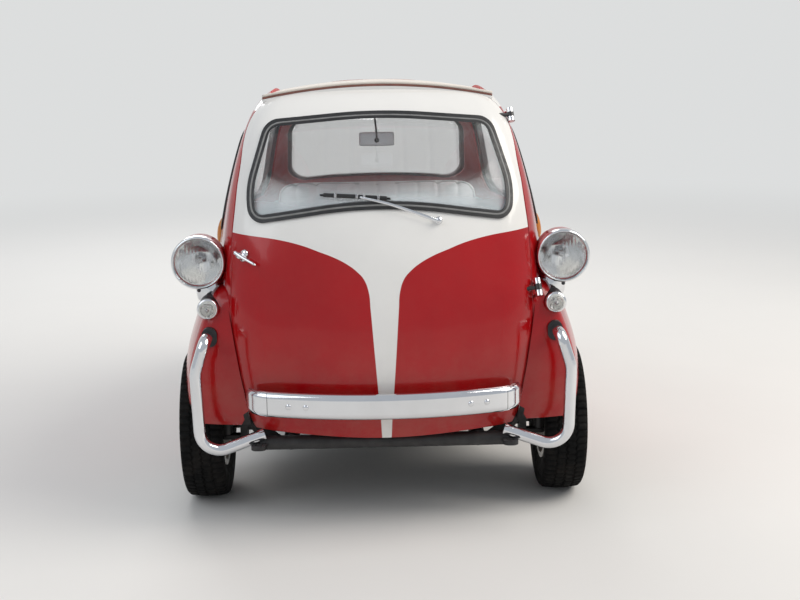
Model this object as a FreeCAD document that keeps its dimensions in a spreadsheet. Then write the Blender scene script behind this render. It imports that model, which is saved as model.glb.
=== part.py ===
import FreeCAD, Part
import math
import os
import Sketcher

# Two-seat bubble car with one front-opening door, at real size.
# Millimetres. +Z is up, the nose faces -Y, +X is the car's own left side.
# The origin is on the ground, halfway between the front-most and rear-most points.
# Lengths along the car are first measured back from the nose ("back"), and every
# sub-part is then moved forward by half the overall length through its Placement.

DRIVING_SIZES = [
    ("overall_length", 2355),
    ("front_axle_back", 460),
    ("rear_axle_back", 1960),
    ("front_track", 1156),
    ("rear_track", 520),
    ("tyre_radius", 243),
    ("tyre_width", 138),
    ("tread_half_width", 56),
    ("rim_radius", 130),
    ("rim_lip_height", 12),
    ("rim_width", 106),
    ("rim_sheet", 5),
    ("wheel_disc_out", 18),
    ("hubcap_radius", 84),
    ("hubcap_height", 30),
    ("hub_bore_radius", 16),
    ("door_gap", 5),
    ("fender_wall", 9),
    ("rear_arch_gap", 19),
    ("arch_inner_x", 174),
    ("arch_liner_wall", 5),
    ("wheelhouse_radius", 265),
    ("wheelhouse_inner_x", 388),
    ("wheelhouse_wall", 12),
    ("floor_z", 286),
    ("floor_thickness", 12),
    ("frame_tube_radius", 24),
    ("frame_half_width", 290),
    ("frame_front_back", 156),
    ("frame_rear_back", 1580),
    ("tow_eye_radius", 12),
    ("kingpin_x", 520),
    ("kingpin_radius", 11),
    ("steering_arm_length", 105),
    ("steering_arm_inset", 26),
    ("track_rod_radius", 9),
    ("track_rod_drop", 42),
    ("lamp_x", 563),
    ("lamp_z", 815),
    ("lamp_face_back", 238),
    ("lamp_rim_radius", 83),
    ("lamp_glass_radius", 74),
    ("lamp_bucket_radius", 79),
    ("side_lamp_x", 533),
    ("side_lamp_z", 680),
    ("side_lamp_radius", 32),
    ("door_bumper_z", 409),
    ("door_bumper_height", 78),
    ("door_bumper_radius", 1120),
    ("door_bumper_sweep", 18.3),
    ("bumper_tube_radius", 18.5),
    ("bumper_tube_x", 568),
    ("bumper_tube_low_z", 234),
    ("bumper_tube_high_z", 594),
    ("bumper_tube_inner_x", 396),
    ("bumper_tube_front_back", 104),
    ("bumper_socket_x", 530),
    ("rear_tube_x", 322),
    ("rear_tube_high_z", 548),
    ("rear_tube_low_z", 300),
    ("rear_tube_inner_x", 150),
    ("grommet_radius", 30),
    ("seat_half_width", 455),
    ("seat_front_back", 830),
    ("seat_depth", 430),
    ("seat_base_height", 120),
    ("cushion_height", 95),
    ("backrest_height", 440),
    ("backrest_thickness", 80),
    ("shelf_z", 822),
    ("bulkhead_back", 1392),
    ("steering_wheel_radius", 192),
    ("steering_rim_radius", 11),
    ("steering_x", 235),
    ("steering_hub_back", 545),
    ("steering_hub_z", 840),
    ("column_radius", 17),
    ("column_length", 500),
    ("column_lean", 36.4),
    ("engine_width", 210),
    ("engine_length", 235),
    ("engine_height", 300),
    ("engine_x", -282),
    ("engine_back", 1440),
    ("silencer_radius", 44),
    ("silencer_length", 300),
    ("bearing_radius", 34),
    ("bearing_x", 140),
    ("chain_case_width", 60),
    ("rear_spring_width", 45),
    ("rear_spring_leaf", 7),
    ("hatch_front_back", 1455),
    ("hatch_rear_back", 1790),
    ("hatch_low_z", 420),
    ("hatch_high_z", 715),
    ("louvre_count", 9),
    ("roof_thickness", 12),
    ("gear_x", 447),
    ("gear_back", 806),
    ("tail_lamp_radius", 36),
    ("tail_lamp_x", 292),
    ("tail_lamp_z", 640),
    ("filler_cap_radius", 32),
    ("filler_cap_z", 770),
]

doc = FreeCAD.newDocument("BubbleCar")
sheet = doc.addObject("Spreadsheet::Sheet", "Sizes")
for row, (alias, number) in enumerate(DRIVING_SIZES, start=1):
    sheet.set("A%d" % row, alias)
    sheet.set("B%d" % row, str(number))
    sheet.setAlias("B%d" % row, alias)
doc.recompute()


class Size:
    """A length that carries its number and the sheet formula it came from."""

    def __init__(self, value, text):
        self.value = value
        self.text = text

    def join(self, other, sign, swap=False):
        other = other if isinstance(other, Size) else Size(float(other), repr(float(other)))
        left, right = (other, self) if swap else (self, other)
        if sign == "+":
            value = left.value + right.value
        elif sign == "-":
            value = left.value - right.value
        elif sign == "*":
            value = left.value * right.value
        else:
            value = left.value / right.value
        return Size(value, "(%s %s %s)" % (left.text, sign, right.text))

    def __add__(self, other):
        return self.join(other, "+")

    def __radd__(self, other):
        return self.join(other, "+", True)

    def __sub__(self, other):
        return self.join(other, "-")

    def __rsub__(self, other):
        return self.join(other, "-", True)

    def __mul__(self, other):
        return self.join(other, "*")

    def __rmul__(self, other):
        return self.join(other, "*", True)

    def __truediv__(self, other):
        return self.join(other, "/")

    def __neg__(self):
        return self.join(0, "-", True)

    def __float__(self):
        return float(self.value)


class Sizes:
    """The sheet's cells by name."""


p = Sizes()
for alias, number in DRIVING_SIZES:
    setattr(p, alias, Size(float(sheet.get(alias)), "Sizes." + alias))

half_length = p.overall_length / 2
front_wheel_x = p.front_track / 2
rear_wheel_x = p.rear_track / 2
node_objects = {}


def vec(x, y, z):
    return FreeCAD.Vector(float(x), float(y), float(z))


def bind(thing, name, size):
    """Bind one property to a formula, or set it where it is a plain number."""
    if isinstance(size, Size):
        thing.setExpression(name, size.text)
    else:
        thing.setExpression(name, repr(float(size)))


def keep(label, thing):
    """Name a sub-part and list it for the export."""
    thing.Label = label
    node_objects[label] = thing
    return thing


def place(thing, x, back, z, start=None, toward=None):
    """Put an object at a point given by its sideways, backward and upward sizes,
    turned so that its own start direction points the wanted way."""
    if toward:
        thing.Placement.Rotation = FreeCAD.Rotation(vec(*start), vec(*toward))
    bind(thing, "Placement.Base.x", x)
    bind(thing, "Placement.Base.y", back - half_length)
    bind(thing, "Placement.Base.z", z)
    return thing


def shaped(label, shape):
    """A sub-part whose form comes from lofts, pipes and their cuts."""
    thing = doc.addObject("Part::Feature", label)
    thing.Shape = shape
    thing.Placement = FreeCAD.Placement(vec(0, -half_length, 0), FreeCAD.Rotation())
    return keep(label, thing)


def origin_plane(body, role):
    return [feature for feature in body.Origin.OriginFeatures if feature.Role == role][0]


def profile_sketch(body, points, role="XZ_Plane"):
    """A closed sketch through (x, y) sizes; a third entry bends the edge after that point
    into an arc of that radius, which bulges to the right of the way it is drawn if positive."""
    sketch = body.newObject("Sketcher::SketchObject", body.Name + "_profile")
    sketch.AttachmentSupport = [(origin_plane(body, role), "")]
    sketch.MapMode = "FlatFace"
    count = len(points)
    ends = []
    for index in range(count):
        here, there = points[index], points[(index + 1) % count]
        start, end = vec(here[0], here[1], 0), vec(there[0], there[1], 0)
        if len(here) < 3:
            sketch.addGeometry(Part.LineSegment(start, end), False)
            ends.append((1, 2))
            continue
        radius = abs(float(here[2]))
        way = end - start
        half = way.Length / 2
        rise = math.sqrt(max(radius * radius - half * half, 0))
        side = FreeCAD.Vector(way.y, -way.x, 0).normalize() * (1 if float(here[2]) > 0 else -1)
        centre = (start + end) / 2 - side * rise
        first = math.atan2(start.y - centre.y, start.x - centre.x)
        last = math.atan2(end.y - centre.y, end.x - centre.x)
        circle = Part.Circle(centre, FreeCAD.Vector(0, 0, 1), radius)
        if float(here[2]) > 0:
            sketch.addGeometry(Part.ArcOfCircle(circle, first, last), False)
            ends.append((1, 2))
        else:
            sketch.addGeometry(Part.ArcOfCircle(circle, last, first), False)
            ends.append((2, 1))
        number = sketch.addConstraint(Sketcher.Constraint("Radius", index, radius))
        bind(sketch, "Constraints[%d]" % number,
             here[2] if float(here[2]) > 0 or not isinstance(here[2], Size) else -here[2])
        if not isinstance(here[2], Size):
            bind(sketch, "Constraints[%d]" % number, radius)
    for index in range(count):
        after = (index + 1) % count
        sketch.addConstraint(Sketcher.Constraint(
            "Coincident", index, ends[index][1], after, ends[after][0]))
    for index, point in enumerate(points):
        for kind, size in (("DistanceX", point[0]), ("DistanceY", point[1])):
            number = sketch.addConstraint(Sketcher.Constraint(
                kind, -1, 1, index, ends[index][0], float(size)))
            bind(sketch, "Constraints[%d]" % number, size)
    return sketch


def turned(name, points, x, back, z, toward=None, turn=360):
    """A body of revolution about its own X: points are (along the axis, radius)."""
    body = doc.addObject("PartDesign::Body", name)
    sketch = profile_sketch(body, points)
    feature = body.newObject("PartDesign::Revolution", name + "_turn")
    feature.Profile = sketch
    feature.ReferenceAxis = (sketch, ["H_Axis"])
    feature.Angle = turn
    return place(body, x, back, z, (1, 0, 0), toward)


def padded(name, points, depth, role, x, back, z, start=(0, 0, 1), toward=None):
    """A body made by pushing a sketch out evenly to both sides of its plane."""
    body = doc.addObject("PartDesign::Body", name)
    sketch = profile_sketch(body, points, role)
    feature = body.newObject("PartDesign::Pad", name + "_pad")
    feature.Profile = sketch
    bind(feature, "Length", depth)
    feature.Midplane = True
    return place(body, x, back, z, start, toward)


def box(name, width, depth, height, x, back, z):
    """A box by its size and the middle of its base."""
    thing = doc.addObject("Part::Box", name)
    bind(thing, "Length", width)
    bind(thing, "Width", depth)
    bind(thing, "Height", height)
    return place(thing, x - width / 2, back - depth / 2, z)


def rod(name, radius, length, x, back, z, toward=None):
    """A round bar by its radius, its length and the middle of its first end."""
    thing = doc.addObject("Part::Cylinder", name)
    bind(thing, "Radius", radius)
    bind(thing, "Height", length)
    return place(thing, x, back, z, (0, 0, 1), toward)


def fused(name, pieces):
    thing = doc.addObject("Part::MultiFuse", name)
    thing.Shapes = pieces
    return thing


def less(name, base, tool):
    thing = doc.addObject("Part::Cut", name)
    thing.Base = base
    thing.Tool = tool
    return thing


def pair(name, thing):
    """The left piece and its mirror image on the right, kept as one sub-part."""
    other = doc.addObject("Part::Mirroring", name + "_right")
    other.Source = thing
    other.Normal = FreeCAD.Vector(1, 0, 0)
    both = doc.addObject("Part::Compound", name + "_pair")
    both.Links = [thing, other]
    return both


# The body's plan section at each height, all to the outer skin: nose, tail and half-width,
# then the radii of its nose, corner and side arcs as shares of the half-width.
BODY_ROWS = [
    {"z": 262, "nose": 118, "tail": 2165, "half": 500, "brow": 2.1, "corner": 0.36, "side": 4.4},
    {"z": 340, "nose": 84, "tail": 2235, "half": 516, "brow": 2.1, "corner": 0.36, "side": 4.4},
    {"z": 450, "nose": 60, "tail": 2272, "half": 531, "brow": 2.1, "corner": 0.36, "side": 4.4},
    {"z": 580, "nose": 56, "tail": 2262, "half": 542, "brow": 2.1, "corner": 0.36, "side": 4.4},
    {"z": 710, "nose": 70, "tail": 2190, "half": 542, "brow": 2.1, "corner": 0.36, "side": 4.4},
    {"z": 850, "nose": 103, "tail": 2065, "half": 530, "brow": 2.2, "corner": 0.35, "side": 4.6},
    {"z": 985, "nose": 158, "tail": 1912, "half": 501, "brow": 2.6, "corner": 0.30, "side": 6.0},
    {"z": 1100, "nose": 232, "tail": 1785, "half": 470, "brow": 2.9, "corner": 0.27, "side": 7.0},
    {"z": 1200, "nose": 314, "tail": 1655, "half": 436, "brow": 3.1, "corner": 0.25, "side": 8.0},
    {"z": 1265, "nose": 385, "tail": 1528, "half": 404, "brow": 3.2, "corner": 0.25, "side": 8.0},
    {"z": 1310, "nose": 456, "tail": 1392, "half": 362, "brow": 3.2, "corner": 0.27, "side": 8.0},
    {"z": 1331, "nose": 560, "tail": 1230, "half": 285, "brow": 3.2, "corner": 0.30, "side": 8.0},
]
# The fender's plan section at each height: inner face, outermost point, front and rear.
FENDER_ROWS = [
    {"z": 316, "inner": 411, "outer": 629, "front": 173, "rear": 863},
    {"z": 350, "inner": 418, "outer": 636, "front": 168, "rear": 868},
    {"z": 430, "inner": 430, "outer": 640, "front": 164, "rear": 866},
    {"z": 510, "inner": 438, "outer": 630, "front": 166, "rear": 846},
    {"z": 590, "inner": 443, "outer": 607, "front": 176, "rear": 806},
    {"z": 650, "inner": 446, "outer": 585, "front": 190, "rear": 750},
    {"z": 700, "inner": 447, "outer": 562, "front": 213, "rear": 680},
    {"z": 732, "inner": 447, "outer": 538, "front": 244, "rear": 615},
    {"z": 744, "inner": 447, "outer": 518, "front": 276, "rear": 570},
]
# Where the door's edge lies, seen from the side.
SEAM_ROWS = [
    {"z": 200, "back": 187, "bend": 2},
    {"z": 520, "back": 187, "bend": 500},
    {"z": 720, "back": 200, "bend": 900},
    {"z": 985, "back": 262, "bend": 350},
    {"z": 1100, "back": 331, "bend": 350},
    {"z": 1237, "back": 462, "bend": 300},
    {"z": 1312, "back": 505, "bend": 60},
    {"z": 1420, "back": 505, "bend": 2},
]
TAIL_CURVE = 0.76
WIDEST_BACK = 750


def between(rows, column, z):
    """A smooth reading of one column at a height (cubic through the rows' neighbours)."""
    heights = [row["z"] for row in rows]
    values = [row[column] for row in rows]
    last = len(rows) - 1
    index = max(0, min(last - 1, sum(1 for height in heights if height <= z) - 1))
    low, high = heights[index], heights[index + 1]
    span = high - low
    share = (z - low) / span

    def slope(at):
        first, second = max(at - 1, 0), min(at + 1, last)
        return (values[second] - values[first]) / (heights[second] - heights[first])

    square, cube = share * share, share ** 3
    return ((2 * cube - 3 * square + 1) * values[index] + (cube - 2 * square + share) * span * slope(index)
            + (3 * square - 2 * cube) * values[index + 1] + (cube - square) * span * slope(index + 1))


def moved_in(rows, column, way, depth, z):
    """The same column for a skin that lies a depth inside: the profile moves along its normal."""
    best = None
    steps = 240
    low, high = rows[0]["z"], rows[-1]["z"]
    before = None
    for step in range(steps + 1):
        height = low + (high - low) * step / steps
        value = between(rows, column, height)
        slope = (between(rows, column, min(height + 1, high)) - between(rows, column, max(height - 1, low))) \
            / (min(height + 1, high) - max(height - 1, low))
        size = math.hypot(1, slope)
        along = 1 if way * slope < 0 else -1
        point = (height - depth * abs(slope) / size * along, value - way * depth / size)
        if before is not None and before[0] <= z <= point[0]:
            share = (z - before[0]) / max(point[0] - before[0], 1e-9)
            best = before[1] + (point[1] - before[1]) * share
        before = point
    if best is None:
        best = between(rows, column, max(z, low)) - way * depth
    return best


def corner_points(half, reach, nose_radius, corner_radius, side_radius):
    """Three tangent arcs from the middle of the nose to the widest point: their joints and middles."""
    nose = (0, reach - nose_radius)
    side = (half - side_radius, 0)
    dx, dy = side[0] - nose[0], side[1] - nose[1]
    apart = math.hypot(dx, dy)
    from_nose, from_side = nose_radius - corner_radius, side_radius - corner_radius
    along = (from_nose ** 2 - from_side ** 2 + apart ** 2) / (2 * apart)
    off = math.sqrt(from_nose ** 2 - along ** 2)
    corner = (nose[0] + dx / apart * along + dy / apart * off,
              nose[1] + dy / apart * along - dx / apart * off)
    first = math.atan2(corner[1] - nose[1], corner[0] - nose[0])
    second = math.atan2(corner[1] - side[1], corner[0] - side[0])
    joint_one = (nose[0] + nose_radius * math.cos(first), nose[1] + nose_radius * math.sin(first))
    joint_two = (side[0] + side_radius * math.cos(second), side[1] + side_radius * math.sin(second))
    middle_corner = (corner[0] + corner_radius * math.cos((first + second) / 2),
                     corner[1] + corner_radius * math.sin((first + second) / 2))
    middle_side = (side[0] + side_radius * math.cos(second / 2), side[1] + side_radius * math.sin(second / 2))
    return joint_one, middle_corner, joint_two, middle_side


def plan_radii(z, depth=0.0):
    """The radii of the plan section's nose, corner, side and tail arcs at a height."""
    half = between(BODY_ROWS, "half", z)
    shares = [between(BODY_ROWS, column, z) for column in ("brow", "corner", "side")] + [TAIL_CURVE]
    return [share * half - depth for share in shares]


def arc(one, middle, two, z):
    return Part.Arc(vec(one[0], one[1], z), vec(middle[0], middle[1], z), vec(two[0], two[1], z)).toShape()


def body_section(nose, tail, half, radii, z):
    """The body's closed outline at one height, from eight tangent arcs."""
    brow, corner, side, rear = radii
    one, mid_corner, two, mid_side = corner_points(half, WIDEST_BACK - nose, brow, corner, side)
    rear_reach = tail - WIDEST_BACK
    side = (half ** 2 + (rear_reach - rear) ** 2 - rear ** 2) / (2 * (half - rear))
    turn = math.atan2(rear_reach - rear, side - half)
    joint = (half - side + side * math.cos(turn), side * math.sin(turn))
    middle = (half - side + side * math.cos(turn / 2), side * math.sin(turn / 2))
    edges = []
    for sign in (1, -1):
        def point(pair, forward=True):
            return (sign * pair[0], WIDEST_BACK - pair[1] if forward else WIDEST_BACK + pair[1])
        half_edges = [
            arc(point(one), point(mid_corner), point(two), z),
            arc(point(two), point(mid_side), point((half, 0)), z),
            arc(point((half, 0)), point(middle, False), point(joint, False), z),
        ]
        edges.append(half_edges)
    rear_edge = arc((joint[0], WIDEST_BACK + joint[1]), (0, tail), (-joint[0], WIDEST_BACK + joint[1]), z)
    nose_edge = arc((-one[0], WIDEST_BACK - one[1]), (0, nose), (one[0], WIDEST_BACK - one[1]), z)
    return Part.Wire(edges[0] + [rear_edge] + edges[1][::-1] + [nose_edge])


def body_solid(depth):
    """The body's closed form, with its skin a depth inside the outer one."""
    low, high = BODY_ROWS[0]["z"], BODY_ROWS[-1]["z"]
    sections = []
    for row in BODY_ROWS:
        if depth:
            z = low + (row["z"] - low) * (high - depth - low) / (high - low)
            nose = moved_in(BODY_ROWS, "nose", -1, depth, z)
            tail = moved_in(BODY_ROWS, "tail", 1, depth, z)
            half = moved_in(BODY_ROWS, "half", 1, depth, z)
        else:
            z, nose, tail, half = row["z"], row["nose"], row["tail"], row["half"]
        sections.append(body_section(nose, tail, half, plan_radii(z, depth), z))
    return Part.makeLoft(sections, True, False, False, 5)


def fender_section(row, depth):
    """One fender outline: a straight inner side and five tangent arcs round the outside."""
    z = row["z"]
    inner = row["inner"]
    out = row["outer"] - depth - inner
    middle = 480
    front = middle - row["front"] - depth
    rear = row["rear"] - depth - middle
    brow = 2.2 * out
    one, mid_corner, two, mid_side = corner_points(out, front, brow, 0.34 * out, 3.2 * front)
    turn = math.atan2(one[0], one[1] - front + brow) / 2
    mid_nose = (brow * math.sin(turn), front - brow + brow * math.cos(turn))
    ahead = [(inner + x, middle - v) for x, v in
             ((0, front), mid_nose, one, mid_corner, two, mid_side, (out, 0))]
    tip = 0.85 * out
    side = (out ** 2 + (rear - tip) ** 2 - tip ** 2) / (2 * (out - tip))
    turn = math.atan2(rear - tip, side - out)
    far = math.radians(90)
    behind = [(inner + x, middle + v) for x, v in
              ((out, 0), (out - side + side * math.cos(turn / 2), side * math.sin(turn / 2)),
               (tip * math.cos(turn), rear - tip + tip * math.sin(turn)),
               (tip * math.cos((turn + far) / 2), rear - tip + tip * math.sin((turn + far) / 2)), (0, rear))]
    return Part.Wire([
        arc(ahead[0], ahead[1], ahead[2], z), arc(ahead[2], ahead[3], ahead[4], z),
        arc(ahead[4], ahead[5], ahead[6], z), arc(behind[0], behind[1], behind[2], z),
        arc(behind[2], behind[3], behind[4], z),
        Part.LineSegment(vec(inner, middle + rear, z), vec(inner, middle - front, z)).toShape()])


def fender_solid(depth=0.0):
    """The left fender's closed form, with all its skin a depth inside the outer one."""
    rows = [dict(row, inner=row["inner"] + depth) for row in FENDER_ROWS]
    rows[-1]["z"] -= depth
    return Part.makeLoft([fender_section(row, depth) for row in rows], True, False, False, 5)


def rounded(points, plane="YZ"):
    """A closed flat wire through corner points (u, v, radius), each corner a tangent arc."""
    count = len(points)
    edges = []
    ends = []
    for index in range(count):
        before, here, after = points[index - 1], points[index], points[(index + 1) % count]
        corner = FreeCAD.Vector(float(here[0]), float(here[1]), 0)
        back_way = (FreeCAD.Vector(float(before[0]), float(before[1]), 0) - corner).normalize()
        on_way = (FreeCAD.Vector(float(after[0]), float(after[1]), 0) - corner).normalize()
        angle = back_way.getAngle(on_way)
        radius = float(here[2])
        reach = radius / math.tan(angle / 2)
        start, end = corner + back_way * reach, corner + on_way * reach
        inward = (back_way + on_way).normalize()
        middle = corner + inward * (radius / math.sin(angle / 2) - radius)
        ends.append((start, middle, end))
    for index in range(count):
        start, middle, end = ends[index]
        if (end - start).Length > 1e-6:
            edges.append(Part.Arc(start, middle, end).toShape())
        following = ends[(index + 1) % count][0]
        if (following - end).Length > 1e-6:
            edges.append(Part.LineSegment(end, following).toShape())
    wire = Part.Wire(edges)
    if plane == "XZ":
        wire.rotate(FreeCAD.Vector(0, 0, 0), FreeCAD.Vector(1, 0, 0), 90)
    elif plane == "YZ":
        wire.rotate(FreeCAD.Vector(0, 0, 0), FreeCAD.Vector(1, 1, 1), 120)
    return wire


def pushed(points, plane, low, high):
    """A solid made by pushing a rounded outline from one distance to another across its plane."""
    wire = rounded(points, plane)
    way = {"XY": FreeCAD.Vector(0, 0, 1), "XZ": FreeCAD.Vector(0, 1, 0), "YZ": FreeCAD.Vector(1, 0, 0)}[plane]
    wire.translate(way * float(low))
    return Part.Face(wire).extrude(way * (float(high) - float(low)))


def grown(points, amount):
    """The same outline moved outwards all round, its corner radii growing with it."""
    wanted = []
    count = len(points)
    area = sum(float(points[i - 1][0]) * float(points[i][1]) - float(points[i][0]) * float(points[i - 1][1])
               for i in range(count))
    turn = 1 if area > 0 else -1
    for index in range(count):
        before, here, after = points[index - 1], points[index], points[(index + 1) % count]
        one = (vec(here[0], here[1], 0) - vec(before[0], before[1], 0)).normalize()
        two = (vec(after[0], after[1], 0) - vec(here[0], here[1], 0)).normalize()
        normal_one = FreeCAD.Vector(one.y, -one.x, 0) * turn
        normal_two = FreeCAD.Vector(two.y, -two.x, 0) * turn
        both = normal_one + normal_two
        shift = both * (amount / (1 + normal_one.dot(normal_two)))
        outward = one.cross(two).z * turn > 0
        radius = float(here[2]) + (amount if outward else -amount)
        wanted.append((float(here[0]) + shift.x, float(here[1]) + shift.y, max(radius, 1)))
    return wanted


def tube(points, radii, radius, bore=0.0):
    """A round tube along straight runs joined by tangent arcs."""
    spots = [vec(*point) for point in points]
    edges = []
    last = spots[0]
    for index in range(1, len(spots) - 1):
        corner = spots[index]
        back_way = (spots[index - 1] - corner).normalize()
        on_way = (spots[index + 1] - corner).normalize()
        angle = back_way.getAngle(on_way)
        bend = float(radii[index - 1])
        reach = bend / math.tan(angle / 2)
        start, end = corner + back_way * reach, corner + on_way * reach
        middle = corner + (back_way + on_way).normalize() * (bend / math.sin(angle / 2) - bend)
        edges.append(Part.LineSegment(last, start).toShape())
        edges.append(Part.Arc(start, middle, end).toShape())
        last = end
    edges.append(Part.LineSegment(last, spots[-1]).toShape())
    path = Part.Wire(edges)
    way = (spots[1] - spots[0]).normalize()
    solid = path.makePipeShell([Part.Wire(Part.makeCircle(float(radius), spots[0], way))], True, False)
    if bore:
        inner = Part.Wire(Part.makeCircle(float(bore), spots[0], way))
        solid = solid.cut(path.makePipeShell([inner], True, False))
    return solid


def mirrored(shape):
    return shape.mirror(FreeCAD.Vector(0, 0, 0), FreeCAD.Vector(1, 0, 0))


def both_sides(shape):
    """A pair of like solids, left and right, kept as one shape."""
    return Part.makeCompound([shape, mirrored(shape)])


def block(x_low, x_high, back_low, back_high, z_low, z_high):
    return Part.makeBox(float(x_high - x_low), float(back_high - back_low), float(z_high - z_low),
                        vec(x_low, back_low, z_low))


def round_bar(x, back, z, radius, length, way):
    return Part.makeCylinder(float(radius), float(length), vec(x, back, z), vec(*way))


def skin_x(back, z):
    """How far the body's side stands out at a place along the car and a height."""
    half = between(BODY_ROWS, "half", z)
    brow, corner, side, rear = plan_radii(z)
    away = WIDEST_BACK - back
    if away < 0:
        reach = between(BODY_ROWS, "tail", z) - WIDEST_BACK
        side = (half ** 2 + (reach - rear) ** 2 - rear ** 2) / (2 * (half - rear))
        if away > -side * math.sin(math.atan2(reach - rear, side - half)):
            return half - side + math.sqrt(side ** 2 - away ** 2)
        return math.sqrt(rear ** 2 - (away + reach - rear) ** 2)
    reach = WIDEST_BACK - between(BODY_ROWS, "nose", z)
    one, middle, two, flank = corner_points(half, reach, brow, corner, side)
    if away < two[1]:
        return half - side + math.sqrt(side ** 2 - away ** 2)
    if away > one[1]:
        return math.sqrt(brow ** 2 - (away - reach + brow) ** 2)
    turn = math.atan2(one[0], one[1] - reach + brow)
    return one[0] - corner * math.sin(turn) + math.sqrt(
        corner ** 2 - (away - one[1] + corner * math.cos(turn)) ** 2)


def nose_back(x, z):
    """Where the nose's skin lies at a sideways distance and a height."""
    brow, corner, side, rear = plan_radii(z)
    nose = between(BODY_ROWS, "nose", z)
    half = between(BODY_ROWS, "half", z)
    one, middle, two, flank = corner_points(half, WIDEST_BACK - nose, brow, corner, side)
    if abs(x) <= one[0]:
        return nose + brow - math.sqrt(brow ** 2 - x ** 2)
    turn = math.atan2(one[0], one[1] - (WIDEST_BACK - nose - brow))
    centre = (one[0] - corner * math.sin(turn), one[1] - corner * math.cos(turn))
    away = min(abs(x) - centre[0], corner)
    return WIDEST_BACK - centre[1] - math.sqrt(corner ** 2 - away ** 2)


def tail_back(x, z):
    """Where the tail's skin lies at a sideways distance and a height."""
    rear = plan_radii(z)[3]
    return between(BODY_ROWS, "tail", z) - rear + math.sqrt(rear ** 2 - x ** 2)


# The skins that the panels, glass and seals lie between.
skins = {depth: body_solid(depth) for depth in
         (0.0, -5.0, 7.0, 9.0, 12.0, 13.0, 14.0, 18.0, 20.0, 26.0, 33.0)}
wall = skins[0.0].cut(skins[26.0])
left_fender = fender_solid()
fenders = left_fender.fuse(mirrored(left_fender))


pane_band = skins[7.0].cut(skins[12.0])
inner_pane_band = skins[13.0].cut(skins[18.0])
seal_band = skins[-5.0].cut(skins[20.0])
hatch_band = skins[0.0].cut(skins[9.0])


def door_zone(shift):
    """Everything ahead of the door's edge, with the edge moved back by a shift."""
    edge = [(row["back"] + shift, row["z"], row["bend"]) for row in SEAM_ROWS]
    return pushed([(-80, 200, 2)] + edge + [(-80, 1420, 2)], "YZ", -620, 620)


gap = float(p.door_gap)
WINDSCREEN = [(-398, 936, 46), (0, 996, 1300), (398, 936, 46), (410, 1040, 240), (352, 1238, 58),
              (0, 1268, 1700), (-352, 1238, 58), (-410, 1040, 240)]
SIDE_WINDOW = [(462, 876, 42), (1480, 880, 60), (1262, 1190, 70), (600, 1188, 60)]
REAR_WINDOW = [(-380, 882, 84), (380, 882, 84), (348, 1190, 84), (-348, 1190, 84)]
ROOF_OPENING = [(-348, 512, 60), (348, 512, 60), (338, 1272, 60), (-338, 1272, 60)]
HATCH = [(p.hatch_front_back, p.hatch_low_z, 28), (p.hatch_rear_back, p.hatch_low_z, 28),
         (p.hatch_rear_back, p.hatch_high_z, 28), (p.hatch_front_back, p.hatch_high_z, 28)]
DOOR_FOOT = [(-620, 100, 2), (620, 100, 2), (620, 318, 2), (0, 281, 2500), (-620, 318, 2)]


def glazed(outline, plane, low, high, opening_in=11, glass_in=15, seal_in=22):
    """Glass, its rubber seal and the panel opening for one outline."""
    glass = pane_band.common(pushed(grown(outline, -glass_in), plane, low, high))
    ring = pushed(outline, plane, low, high).cut(pushed(grown(outline, -seal_in), plane, low, high))
    seal = seal_band.common(ring).cut(glass)
    opening = pushed(grown(outline, -opening_in), plane, low, high)
    return glass, seal, opening


# Door panel, windscreen and its seal.
glass, seal, opening = glazed(WINDSCREEN, "XZ", -20, 640)
door_panel = wall.common(door_zone(-gap / 2)).cut(opening).cut(pushed(DOOR_FOOT, "XZ", -50, 400))
shaped("door_panel", door_panel)
shaped("windscreen", glass)
shaped("windscreen_seal", seal.cut(door_panel))

# Fixed body: skins, fenders, wheelhouses and openings.
fender_core = fender_solid(float(p.fender_wall))
axle_back, axle_z = p.front_axle_back, p.tyre_radius


def wheel_round(radius, x_low, x_high, back=None):
    return round_bar(x_low, axle_back if back is None else back, axle_z, radius, float(x_high) - float(x_low),
                     (1, 0, 0))


house_x = float(p.wheelhouse_inner_x)
house_wall = float(p.wheelhouse_wall)
inner_void = float(p.wheelhouse_radius) - 8
void = wheel_round(inner_void, house_x, house_x + 51)
void = void.fuse(wheel_round(p.wheelhouse_radius, house_x + 50, 760))
house = wheel_round(inner_void + house_wall, house_x - house_wall, house_x + 62).fuse(
    wheel_round(float(p.wheelhouse_radius) + house_wall, house_x + 38, 535)).common(skins[0.0])
door_edge = skins[-5.0].common(door_zone(gap / 2))
fender_skin = left_fender.cut([fender_core, skins[26.0], door_edge])
arch = float(p.tyre_radius + p.rear_arch_gap)
liner_wall = float(p.arch_liner_wall)
rear_void = wheel_round(arch, p.arch_inner_x, 520, p.rear_axle_back)
rear_liner = wheel_round(arch + liner_wall, p.arch_inner_x - liner_wall, 500,
                         p.rear_axle_back).common(skins[13.0])
body = wall.fuse([house, mirrored(house), rear_liner, mirrored(rear_liner)]).cut(door_zone(gap / 2))
body = body.fuse([fender_skin, mirrored(fender_skin)])
side_glass, side_seal, side_opening = glazed(SIDE_WINDOW, "YZ", 300, 640)
rear_glass, rear_seal, rear_opening = glazed(REAR_WINDOW, "XZ", 1300, 2400)
hatch_hole = pushed(HATCH, "YZ", -640, -200)
hatch_foot, hatch_way = vec(-489.9, 1452, 440), FreeCAD.Vector(-0.017422, 0, 0.999848)
hatch_pockets = [Part.makeCylinder(7.5, 31, hatch_foot + hatch_way * (at - 0.5), hatch_way)
                 for at in (35, 205)]
hub_hole = wheel_round(p.bearing_radius, -200, 200, p.rear_axle_back)
tube_room = float(p.frame_tube_radius + 5)
tube_x = float(p.frame_half_width)
tube_notch = block(tube_x - tube_room, tube_x + tube_room, 150, 240, 200,
                   float(p.floor_z))
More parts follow.
